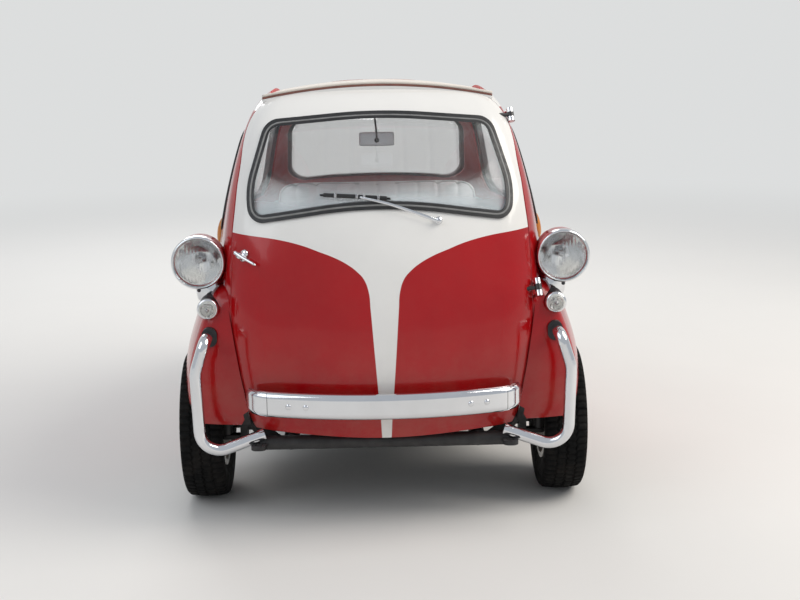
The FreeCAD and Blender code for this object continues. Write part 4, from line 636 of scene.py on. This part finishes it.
# Turned lamp pieces of the car's left side: finish, then forms (middle, way, (along, radius) line, steps).
# The silvered bowl is r = 69.5 (1 - depth / 66)^0.5; the rim has a rolled ring, a second ring and a screw.
depth = np.linspace(0, 1, 22)[:-1]
bowlFace = np.stack([14.6 + 66 * depth, 69.5 * np.sqrt(1 - depth) + 0.6], axis=-1)
bowlLine = np.concatenate([bowlFace, [(80.2, 11), (82, 11)], bowlFace[::-1] + (1.6, 0.6)])
ahead, behind = (0, -1, 0), (0, 1, 0)
lampSpot = (headlamp["x"], headlamp["face"], headlamp["z"])
sideSpot = (533, 174, 680)
lampForms = {
    "headlampBowl": (silvered, (lampSpot, behind, bowlLine, 72)),
    "headlampBulb": (lensGlass, (lampSpot, behind, [
        (42, 0), (42.5, 4), (46, 8), (54, 10), (62, 9), (70, 6), (78, 6), (78, 0)], 32)),
    "headlampCap": (steel, (lampSpot, behind, [
        (70, 0), (70, 10.6), (73, 10.8), (74, 14), (79.5, 14), (80, 9), (84, 9), (84, 0)], 32),
        (lampSpot, behind, [(33, 0), (32, 5), (34, 8.5), (39, 9), (39, 8), (35, 7), (34, 0)], 32)),
    "headlampBand": (chrome, (lampSpot, behind, [
        (14.5, 79.4), (14.5, 81.6), (16, 82.8), (22, 83.0), (25, 81.8), (26, 79.6)], 96),
        (lampSpot, behind, [
            (-0.2, 74.6), (-2.6, 76.5), (-1.8, 79), (2, 81.6), (9, 83.2), (10, 83.1), (0.6, 78.2)], 96)),
    "headlampScrew": (darkPlastic, (np.add(lampSpot, (0, 8, -86)), (0, -1, 0.1), [
        (-8, 0), (-8, 3.4), (4, 3.4), (4, 6), (8.5, 5.4), (9, 0)], 20)),
    "sideBezel": (chrome, ((533, 190, 680), behind, [
        (-4.4, 21.4), (-6.4, 23.4), (-6.8, 26), (-5.4, 29), (-2, 32.4), (4, 32.8), (8, 32.2), (8, 31.8),
        (-1, 31.4), (-3.4, 27), (-2.6, 21.6)], 56)),
    "sideEye": (lensGlass, (sideSpot, ahead, [
        (-1, 0), (-1, 21.4), (0.8, 20.8), (4.4, 17), (6.6, 11.4), (7.2, 8), (8.6, 5.6), (9.2, 0)], 48)),
    "sideLamp": (steel, (sideSpot, ahead, [
        (-0.6, 0), (-0.6, 5.6), (1.4, 5.6), (1.8, 4), (5.6, 3.4), (6.4, 0)], 28)),
    "tailBezel": (chrome, ((292, 2151, 640), ahead, [
        (-3, 31.6), (-4, 33), (-3.2, 35.6), (0, 36.8), (6, 37.2), (9, 36.6), (9, 36.2), (0, 35.8),
        (-1, 32)], 56)),
}


# The same forms on a side of the car.
def onSide(sign, forms):
    return [(place(x * sign, back, z), np.multiply(way, (sign, 1, 1)), line, steps)
            for (x, back, z), way, line, steps in forms]


for side, sign in sides.items():
    lens = makePiece("headlampGlass_" + side, [(lensGrid(headlamp["x"] * sign), True, False)], "body",
                     lensGlass)
    if sign > 0:
        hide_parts("headlamp_lenses")
    for name, (finish, *forms) in lampForms.items():
        turnedPiece(name + "_" + side, "body", finish, *onSide(sign, forms))

# Side indicators behind the door: half an egg on a bright foot. A ring |u / long|^2.4 + |v / high|^2.4 = 1
# shrinks by cos(lift) while it rises off the skin by start + deep * sin(lift).
indicator = {"back": 596, "z": 862, "long": 20, "high": 46, "deep": 15, "start": 1.5, "margin": 3,
             "footDeep": 3.2, "footStart": 0.5}


def egg(centre, out, long, high, deep, start):
    along = unit(np.cross(out, (0, 0, 1.0)))
    upright = np.cross(along, out)
    ring = oblong(long, high, 64, 2.4)
    edge = (ring[:, :1] * along + ring[:, 1:] * upright)[:, None]
    lift = np.linspace(0, np.pi / 2, 16)[:, None]
    dome = edge * np.cos(lift) + (start + deep * np.sin(lift)) * out
    return centre + np.concatenate([edge - 3 * out, dome], axis=1) / 1000


shellTree = skinTree("body_shell")
for side, sign in sides.items():
    starts = place([sign * aimAside], indicator["back"], indicator["z"])
    (spot,), outward = ontoSkin(shellTree, starts, (-sign, 0, 0))
    out = unit(outward[0])
    lens = egg(spot, out, indicator["long"], indicator["high"], indicator["deep"], indicator["start"])
    foot = egg(spot, out, indicator["long"] + indicator["margin"], indicator["high"] + indicator["margin"],
               indicator["footDeep"], indicator["footStart"])
    makePiece("indicatorLens_" + side, [(lens, True, False)], "body", amberLens)
    makePiece("indicatorFoot_" + side, [(foot, True, False)], "body", chrome)

# Saddles: a bright collar round each lamp's pedestal.
saddle = ((527, 336, 690), (0.22, 0, 1), [
    (4, 44), (4, 50), (8, 52), (33, 51), (52, 48.4), (60, 47.6), (62, 46), (62, 43)], 72)
for side, sign in sides.items():
    turnedPiece("lampSaddle_" + side, "body", chrome, *onSide(sign, [saddle]))
print("stage: lamps")

# Rubber seals: a grey filler lip carried round each window on the outer face of its seal.
filler = {"inset": 12, "ring": oblong(3.0, 1.5, 10), "count": 260}


# An outline of (u, v, radius) corners moved outwards by an amount.
def grownLine(corners, amount):
    corners = np.asarray(corners, float)
    spots = corners[:, :2]
    before, after = unit(spots - np.roll(spots, 1, 0)), unit(np.roll(spots, -1, 0) - spots)
    area = np.sum(spots[:, 0] * np.roll(spots[:, 1], -1) - np.roll(spots[:, 0], -1) * spots[:, 1])
    sign = 1 if area > 0 else -1
    one, two = (np.stack([way[:, 1], -way[:, 0]], -1) * sign for way in (before, after))
    shift = (one + two) * (amount / (1 + np.sum(one * two, axis=1)))[:, None]
    convex = (before[:, 0] * after[:, 1] - before[:, 1] * after[:, 0]) * sign > 0
    radius = np.maximum(corners[:, 2] + np.where(convex, amount, -amount), 1)
    return np.concatenate([spots + shift, radius[:, None]], axis=1)


# Each window: its seal, the body it rides on, the way in from outside and the corners of its outline.
sideLine = [(462, 876, 42), (1480, 880, 60), (1262, 1190, 70), (600, 1188, 60)]
windows = {
    "screen": ("windscreen_seal", "door", (0, 1, 0),
               [(-398, 936, 46), (0, 996, 1300), (398, 936, 46), (410, 1040, 240), (352, 1238, 58),
                (0, 1268, 1700), (-352, 1238, 58), (-410, 1040, 240)]),
    "rear": ("window_seals", "body", (0, -1, 0),
             [(-380, 882, 84), (380, 882, 84), (348, 1190, 84), (-348, 1190, 84)]),
    "left": ("window_seals", "body", (-1, 0, 0), sideLine),
    "right": ("window_seals", "body", (1, 0, 0), sideLine),
}
for label, (node, body, way, outline) in windows.items():
    line = roundedLine(grownLine(outline, -filler["inset"]), filler["count"])
    if way[0]:
        starts = place(-way[0] * aimAside, line[:, 0], line[:, 1])
    else:
        starts = place(line[:, 0], aimAhead if way[1] > 0 else aimBehind, line[:, 1])
    spots, outward = ontoSkin(skinTree(node), starts, way)
    wrapped = np.concatenate([spots[-2:], spots, spots[:2]])
    path = np.stack([np.convolve(column, np.full(5, 0.2), "valid") for column in wrapped.T], -1)
    lip = carried(path, filler["ring"], outward, closed=True)
    makePiece("sealFiller_" + label, [(lip, True, True)], body, trimGrey)
print("stage: window trim")

# Door bumper: four domed bolts and a dark joint line near each end, seated on the bar by lines from ahead.
bumper = {"z": 409, "half": 37, "bolts": (-287, -235, 258, 307), "joints": {"left": -352, "right": 372},
          "bolt": [(-1, 0), (-1, 8.6), (1.2, 8.6), (2.2, 8), (3.6, 6.2), (4.4, 3), (4.6, 0)]}
bumperTree = skinTree("door_bumper")
bolts = zip(*fromAhead(bumperTree, [(x, bumper["z"]) for x in bumper["bolts"]]))
turnedPiece("bumperBolts", "door", chrome, *((spot, way, bumper["bolt"], 28) for spot, way in bolts))
for label, x in bumper["joints"].items():
    line = [(x, z) for z in bumper["z"] + np.linspace(-bumper["half"], bumper["half"], 30)]
    spots, outward = fromAhead(bumperTree, line)
    carriedPiece("bumperJoint_" + label, "door", darkPlastic, carried(spots, oblong(0.9, 0.5, 8), outward))

# Wiper: pivot cap, pressed arm that narrows to its tip, dark holder with bright clips, and the rubber blade.
wiper = {"arm": ((172, 944), (146, 955), (96, 974), (20, 1000), (-62, 1017)), "lift": (14, 17, 19, 19, 17),
         "blade": ((-181, 1023), (-62, 1017), (50, 1009)), "holder": (3, 57), "clips": (12, 30, 36, 48),
         "cap": [(-3, 0), (-3, 12), (4, 12), (5, 10.5), (9, 9.5), (15, 9), (17, 7.5), (18, 0)],
         "rubber": [(-1, -5.5), (1, -5.5), (1.4, 0), (3.2, 2.2), (3.2, 3.6), (-3.2, 3.6), (-3.2, 2.2),
                    (-1.4, 0)]}
doorTree = skinTree("door_panel", "windscreen_seal", "windscreen")
spots, outward = fromAhead(doorTree, wiper["arm"])
cap = turnedPiece("wiperPivot", "door", chrome, (spots[0], outward[0], wiper["cap"], 40))
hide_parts("wiper")
armPath = flowing(spots + np.outer(wiper["lift"], ahead) / 1000, 40)
arm = carried(armPath, oblong(5.6, 2.2, 12, 3), ahead, taper=np.linspace(1, 0.6, 40))
carriedPiece("wiperArm", "door", chrome, arm)
glassSpots = flowing(fromAhead(doorTree, flowing(wiper["blade"], 60))[0][::6], 60)
carriedPiece("wiperRubber", "door", rubber, carried(glassSpots + (0, -0.006, 0), wiper["rubber"], ahead))
holderPath = glassSpots[slice(*wiper["holder"])] + (0, -0.0135, 0.001)
carriedPiece("wiperHolder", "door", darkPlastic, carried(holderPath, oblong(6.4, 3.2, 14, 3), ahead))
clipPaths = [flowing(glassSpots[at:at + 3] + (0, -0.014, 0.001), 6) for at in wiper["clips"]]
clips = (carried(path, oblong(7.4, 4.2, 14, 4), ahead) for path in clipPaths)
carriedPiece("wiperClips", "door", steel, *clips)

# Door handle: a boss and a lock on the skin, and a lever that stands off it and swells towards its upper end.
handle = {"boss": (-418, 842), "lock": (-410, 850), "stand": (25, 22, 20, 21, 22),
          "line": ((-458, 861), (-440, 853), (-418, 842), (-396, 832), (-376, 822)),
          "thick": (10.5, 11, 9, 7.4, 6), "steps": 40,
          "bossLine": [(-2, 0), (-2, 17), (1.5, 17), (3.5, 15.5), (5, 12), (16, 9.5), (22, 8), (22, 0)],
          "lockLine": [(-1, 0), (-1, 13), (6, 12.6), (10, 10.6), (12, 6.4), (12.4, 0)]}
leverSpots = fromAhead(doorTree, handle["line"])[0]
leverPath = flowing(leverSpots + np.outer(handle["stand"], ahead) / 1000, handle["steps"])
thick = np.interp(np.linspace(0, 1, handle["steps"]), np.linspace(0, 1, 5), handle["thick"])
step = np.arange(handle["steps"])
ends = np.sqrt(np.clip(np.minimum(step + 0.4, handle["steps"] - 0.4 - step) / 3.4, 0, 1))
lever = carried(leverPath, oblong(0.62, 1, 20, 2.4), ahead, taper=thick * ends)
spots, outward = fromAhead(doorTree, [handle["boss"], handle["lock"]])
boss = turned(spots[0], outward[0], handle["bossLine"], 40)
lock = turned(spots[1], outward[1], handle["lockLine"], 36)
grip = makePiece("handleGrip", [(lever, False, True), (boss, True, False), (lock, True, False)], "door",
                 chrome)
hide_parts("door_handle")
print("stage: bumper, wiper and handle")

# Inside mirror: a domed back, a silvered face to the rear, and a stalk from the roof rail.
mirror = {"x": -5.5, "back": 459, "z": 1167, "wide": 56, "high": 22,
          "shell": ((-7.2, 0.0), (-7, 0.55), (-6, 0.8), (-3.6, 0.94), (0, 1.0), (5.6, 1.0), (6.6, 0.97),
                    (6.6, 0.94)),
          "face": ((5.6, 0.94), (6.2, 0.93), (6.2, 0.0)),
          "stalk": ((-5, -6, -10, -13), (451, 454, 458, 456), (1168, 1190, 1232, 1284)),
          "foot": [(-1, 0), (-1, 8), (2, 7.6), (5, 5.4), (6.5, 0)]}


# Rings of the rim's outline, each (back from the middle, share of the rim).
def mirrorGrid(layers):
    rim = oblong(mirror["wide"], mirror["high"], 64, 9)
    back, share = np.array(layers).T
    return place(mirror["x"] + rim[:, :1] * share, mirror["back"] + back, mirror["z"] + rim[:, 1:] * share)


back = makePiece("mirrorBack", [(mirrorGrid(mirror["shell"]), True, False)], "door", mirrorBack)
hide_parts("interior_mirror")
makePiece("mirrorGlass", [(mirrorGrid(mirror["face"]), True, False)], "door", mirrorFace)
stalk = carried(flowing(place(*mirror["stalk"]), 26), oblong(3.0, 3.0, 12), behind)
foot = turned(place(-5, 453, 1164), ahead, mirror["foot"], 28)
makePiece("mirrorStalk", [(stalk, False, True), (foot, True, False)], "door", darkPlastic)
print("stage: mirror")

# Roof cloth: one sheet z = edge + (crown - edge) (1 - (x / half)^2), low between the bows, faintly wrinkled
# near its edges. A row is (back, half width, edge, crown); quartic curves run through the rows.
roof = {"rows": ((497, 367, 1304, 1342), (690, 368, 1305, 1344), (890, 364, 1304, 1342),
                 (1090, 354, 1294, 1334), (1290, 338, 1261, 1305)),
        "bows": (497, 700, 895, 1090, 1290), "sag": 3.2, "wrinkle": 0.35, "thick": 2.5, "count": (150, 90)}
rows, bows = np.array(roof["rows"], float), np.array(roof["bows"], float)
along = np.linspace(bows[0], bows[-1], roof["count"][0])
half, low, high = (np.polyval(np.polyfit(rows[:, 0] - rows[2, 0], rows[:, column], 4),
                              along - rows[2, 0])[:, None] for column in (1, 2, 3))
share = np.linspace(-1, 1, roof["count"][1])[None, :]
bay = np.clip(np.searchsorted(bows, along, "right"), 1, 4)
between = (along - bows[bay - 1]) / (bows[bay] - bows[bay - 1])
sag = roof["sag"] * np.sin(np.pi * between)[:, None] * (1 - share ** 2) ** 0.7
wrinkle = roof["wrinkle"] * np.sin(along[:, None] / 17 + 9 * share ** 2) * np.abs(share) ** 6
top = place(share * half, along[:, None], low + (high - low) * (1 - share ** 2) - sag + wrinkle)
sheet = np.concatenate([top, top[:, ::-1] - (0, 0, roof["thick"] / 1000)], axis=1)
first, last = (0 * sheet[:1] + edge.mean(axis=0) for edge in (sheet[0], sheet[-1]))
roofPiece = makePiece("roofCloth", [(np.concatenate([first, sheet, last]), False, True)], "body", roofCloth)
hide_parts("roof_fabric")

# The front edge: header rail, beading and hem, each along the arc z = end + rise (1 - (x / half)^2).
frontEdge = {"half": 367, "rise": 37, "bend": 3, "pieces": (
    ("roofHeader", 495, 1289, oblong(7, 9, 16, 4), whitePaint),
    # The beading wears a dark brown that is painted shade on the cloth's front edge.
    ("shadedRoofBeading", 491, 1299, oblong(4.2, 3.8, 14), shadedRoofBeading),
    ("roofHem", 494, 1306, oblong(7, 4.6, 16), roofCloth))}
share = np.linspace(-1, 1, 80)
for name, back, end, ring, finish in frontEdge["pieces"]:
    arch = place(share * frontEdge["half"], back + frontEdge["bend"] * share ** 2,
                 end + frontEdge["rise"] * (1 - share ** 2))
    carriedPiece(name, "body", finish, carried(arch, ring, (0, 0, 1)))
print("stage: roof cloth")

# Seat cushion and backrest: a rounded block a little smaller than the space the part holds is remeshed, blown
# up as cloth with its moves capped, then sewn: a channel at distance d is depth * exp(-(d / width)^2) deep.
# Half sizes are (across the car, along the sewn face, through it).
seats = {
    "seat_cushion": {"centre": (0, 1045, 464), "half": (446, 214, 42), "lean": 0.0, "cap": 9, "fill": 0.6,
                     "channels": 11, "lying": True, "lowest": 418.5},
    "seat_backrest": {"centre": (0, 1298, 737), "half": (391, 211, 31), "lean": 12.0, "cap": 8, "fill": 0.6,
                      "channels": 10, "lying": False, "lowest": 0},
}
sewing = {"voxel": 0.009, "depth": 0.006, "width": 0.007, "margin": 50, "piping": 0.62, "reach": 60}


def blown(piece, cap, frames=18):
    mesh = piece.data
    before = readOut(mesh.vertices, "co")
    swell = piece.modifiers.new("swell", "CLOTH")
    swell.settings.quality = 3
    swell.settings.use_pressure = True
    swell.settings.uniform_pressure_force = 4
    swell.settings.effector_weights.gravity = 0
    for step in range(1, frames + 1):
        scene.frame_set(step)
    move = readOut(piece.evaluated_get(bpy.context.evaluated_depsgraph_get()).data.vertices, "co") - before
    piece.modifiers.remove(swell)
    scene.frame_set(1)
    far = np.linalg.norm(move, axis=1, keepdims=True)
    move *= np.minimum(1, cap / 1000 / np.maximum(far, 1e-9))
    mesh.vertices.foreach_set("co", (before + move).ravel())


def baked(piece):
    made = bpy.data.meshes.new_from_object(piece.evaluated_get(bpy.context.evaluated_depsgraph_get()))
    piece.modifiers.clear()
    piece.data = made


def bulge(value, power):
    return np.sign(value) * np.abs(value) ** power


def sewnSeat(name, centre, half, lean, cap, fill, channels, lying, lowest):
    angle = math.radians(lean)
    acrossWay, upWay = np.array([1.0, 0, 0]), np.array([0, math.sin(angle), math.cos(angle)])
    backWay = np.array([0, math.cos(angle), -math.sin(angle)])
    longWay, flatWay = (backWay, upWay) if lying else (upWay, backWay)
    middle = place(*centre)

    def spotsAt(across, long, flat):
        return middle + (across * acrossWay + long * longWay + flat * flatWay) / 1000
    polar = np.linspace(-np.pi / 2, np.pi / 2, 60)[None, :, None]
    turn = roundTurn(160)[:, None, None]
    girth = bulge(np.cos(polar), 0.28)
    block = spotsAt(half[0] * girth * bulge(np.cos(turn), 0.22), half[1] * girth * bulge(np.sin(turn), 0.22),
                    half[2] * bulge(np.sin(polar), 0.42) + 0 * turn)
    piece = makePiece(name + "_sewn", [(block, True, False)], "body", seatClothPaintedLight)
    remesh = piece.modifiers.new("even", "REMESH")
    remesh.mode, remesh.voxel_size = "VOXEL", sewing["voxel"]
    baked(piece)
    blown(piece, cap)
    finer = piece.modifiers.new("finer", "SUBSURF")
    finer.levels = finer.render_levels = 1
    baked(piece)
    mesh = piece.data
    spots, facing = readOut(mesh.vertices, "co"), readOut(mesh.vertices, "normal")
    front = facing @ (flatWay if lying else -flatWay)
    pitch = 2 * half[0] / 1000 / channels
    away = pitch / 2 - np.abs((spots[:, 0] / pitch + channels / 2) % 1 - 0.5) * pitch
    inner = np.clip(1.6 - np.abs(spots[:, 0]) * 1000 / (half[0] - sewing["margin"]), 0, 1)
    groove = sewing["depth"] * np.exp(-(away / sewing["width"]) ** 2)
    groove = groove * np.clip((front - 0.25) / 0.4, 0, 1) * np.clip(inner * 4, 0, 1)
    spots = spots - facing * groove[:, None]
    spots[:, 2] = np.maximum(spots[:, 2], lowest / 1000)
    mesh.vertices.foreach_set("co", spots.ravel())
    mesh.polygons.foreach_set("use_smooth", np.ones(len(mesh.polygons), bool))
    mesh.update()
    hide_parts(name)
    tree = BVHTree.FromPolygons(list(map(tuple, spots)), [list(face.vertices) for face in mesh.polygons])
    ring = oblong(1, 1, 180, 7)
    for label, level in (("a", sewing["piping"]), ("b", -sewing["piping"])):
        starts, ends = (spotsAt(ring[:, :1] * (half[0] + reach), ring[:, 1:] * (half[1] + reach),
                                level * half[2]) for reach in (sewing["reach"], -sewing["reach"]))
        hits = [tree.ray_cast(Vector(start), Vector(end - start).normalized())[0]
                for start, end in zip(starts, ends)]
        path = np.array([hit if hit is not None else start for hit, start in zip(hits, starts)])
        piping = carried(path, oblong(3.2, 3.2, 10), flatWay, closed=True)
        makePiece(name + "_piping_" + label, [(piping, True, True)], "body", seatPiping)


for name, seat in seats.items():
    sewnSeat(name, **seat)
print("stage: seats")

# Studio: a pale floor that curves up into the backdrop, a pale world, and three soft lamps.
studio = {"near": -14, "turn": 9, "radius": 5, "top": 16, "half": 40, "columns": 9}
arc = np.linspace(0, np.pi / 2, 40)
backEdge = studio["turn"] + studio["radius"]
curve = np.stack([studio["turn"] + studio["radius"] * np.sin(arc), studio["radius"] * (1 - np.cos(arc))], -1)
profile = np.concatenate([[(studio["near"], 0)], curve, [(backEdge, studio["top"])]])
across = np.linspace(-studio["half"], studio["half"], studio["columns"])
sweepGrid = np.stack(np.broadcast_arrays(across[None, :], profile[:, :1], profile[:, 1:]), -1)


# The floor is a pale matt surface that glows, to rays from the eye, gloss and glass alone, more and more with
# distance from the car: share = smoothstep(reach, near, far).
def floorPaint(colour, glow, near, far):
    material, add, join, point = newMaterial("studioFloor", colour, 0.92)
    join(varied(add, cloud(add, point, 0.8, 6, 0.6), colour, 0.98, 1), "Base Color")
    bumped(add, join, noise(add, point, 90, 3), 0.02, 0.0008)
    reach = add("VectorMath", {0: point}, operation="LENGTH").outputs["Value"]
    path = add("LightPath").outputs
    seen = reckoned(add, "MAXIMUM", path["Is Camera Ray"], path["Is Glossy Ray"])
    seen = reckoned(add, "MAXIMUM", seen, path["Is Transmission Ray"])
    weight = reckoned(add, "MULTIPLY", spread(add, reach, 0, 1, near, far), seen)
    shine = add("Emission", {"Color": (*glow, 1), "Strength": 1.0}).outputs["Emission"]
    tree = material.node_tree
    plain = tree.nodes["Principled BSDF"].outputs["BSDF"]
    both = add("MixShader", {0: weight, 1: plain, 2: shine}).outputs["Shader"]
    tree.links.new(both, tree.nodes["Material Output"].inputs["Surface"])
    return material


floorFinish = floorPaint((0.70, 0.685, 0.66), (0.72, 0.73, 0.73), 2.2, 9.0)
floorMesh = bpy.data.meshes.new("studioFloor")
floorQuads = weave(len(profile), studio["columns"], False, False)[:, ::-1]
floorMesh.from_pydata(sweepGrid.reshape(-1, 3), [], floorQuads)
floorMesh.polygons.foreach_set("use_smooth", np.ones(len(floorMesh.polygons), bool))
floorMesh.materials.append(floorFinish)
floor = linked("studioFloor", floorMesh)
world = bpy.data.worlds.new("studio")
scene.world = world
world.use_nodes = True
background = world.node_tree.nodes["Background"]
background.inputs["Color"].default_value = (0.80, 0.84, 0.90, 1)
background.inputs["Strength"].default_value = 0.62
# Each lamp: name, place, size, power, tint and the spot it looks at.
lamps = (("keyLamp", (5.4, -1.6, 5.6), 5.0, 430, (1.0, 0.95, 0.88), (0, -0.6, 0.6)),
         ("fillLamp", (-5.6, -4.0, 5.4), 5.5, 150, (0.92, 0.96, 1.0), (0, -0.4, 0.7)),
         ("rearLamp", (-1.5, 5.2, 4.8), 4.0, 190, (1.0, 1.0, 1.0), (0, 0, 0.7)))
for name, spot, size, power, tint, aim in lamps:
    lamp = bpy.data.lights.new(name, "AREA")
    lamp.size, lamp.energy, lamp.color = size, power, tint
    lampObject = linked(name, lamp)
    lampObject.location = spot
    lampObject.rotation_euler = (Vector(aim) - Vector(spot)).to_track_quat("-Z", "Y").to_euler()

# Camera at the photographer's place: heading, pitch and roll in degrees, distances in metres.
view = {"lens": 58.5, "pitch": 11.44, "heading": 1.39, "roll": 0.9, "height": 1.485, "away": 4.165,
        "side": -0.040, "axle": -0.7175}
pitch, heading, roll = (math.radians(view[key]) for key in ("pitch", "heading", "roll"))
level = math.cos(pitch)
forward = Vector((math.sin(heading) * level, math.cos(heading) * level, -math.sin(pitch)))
right = Vector((math.cos(heading), -math.sin(heading), 0))
tiltedUp = right.cross(forward) * math.cos(roll) + right * math.sin(roll)
turning = Matrix((forward.cross(tiltedUp), tiltedUp, -forward)).transposed().to_4x4()
camera = bpy.data.cameras.new("camera")
camera.lens = view["lens"]
camera.sensor_width = 36
cameraObject = linked("camera", camera)
eye = (view["side"], view["axle"] - view["away"], view["height"])
cameraObject.matrix_world = Matrix.Translation(eye) @ turning
scene.camera = cameraObject
scene.view_settings.view_transform = "Standard"
print("stage: studio and camera")
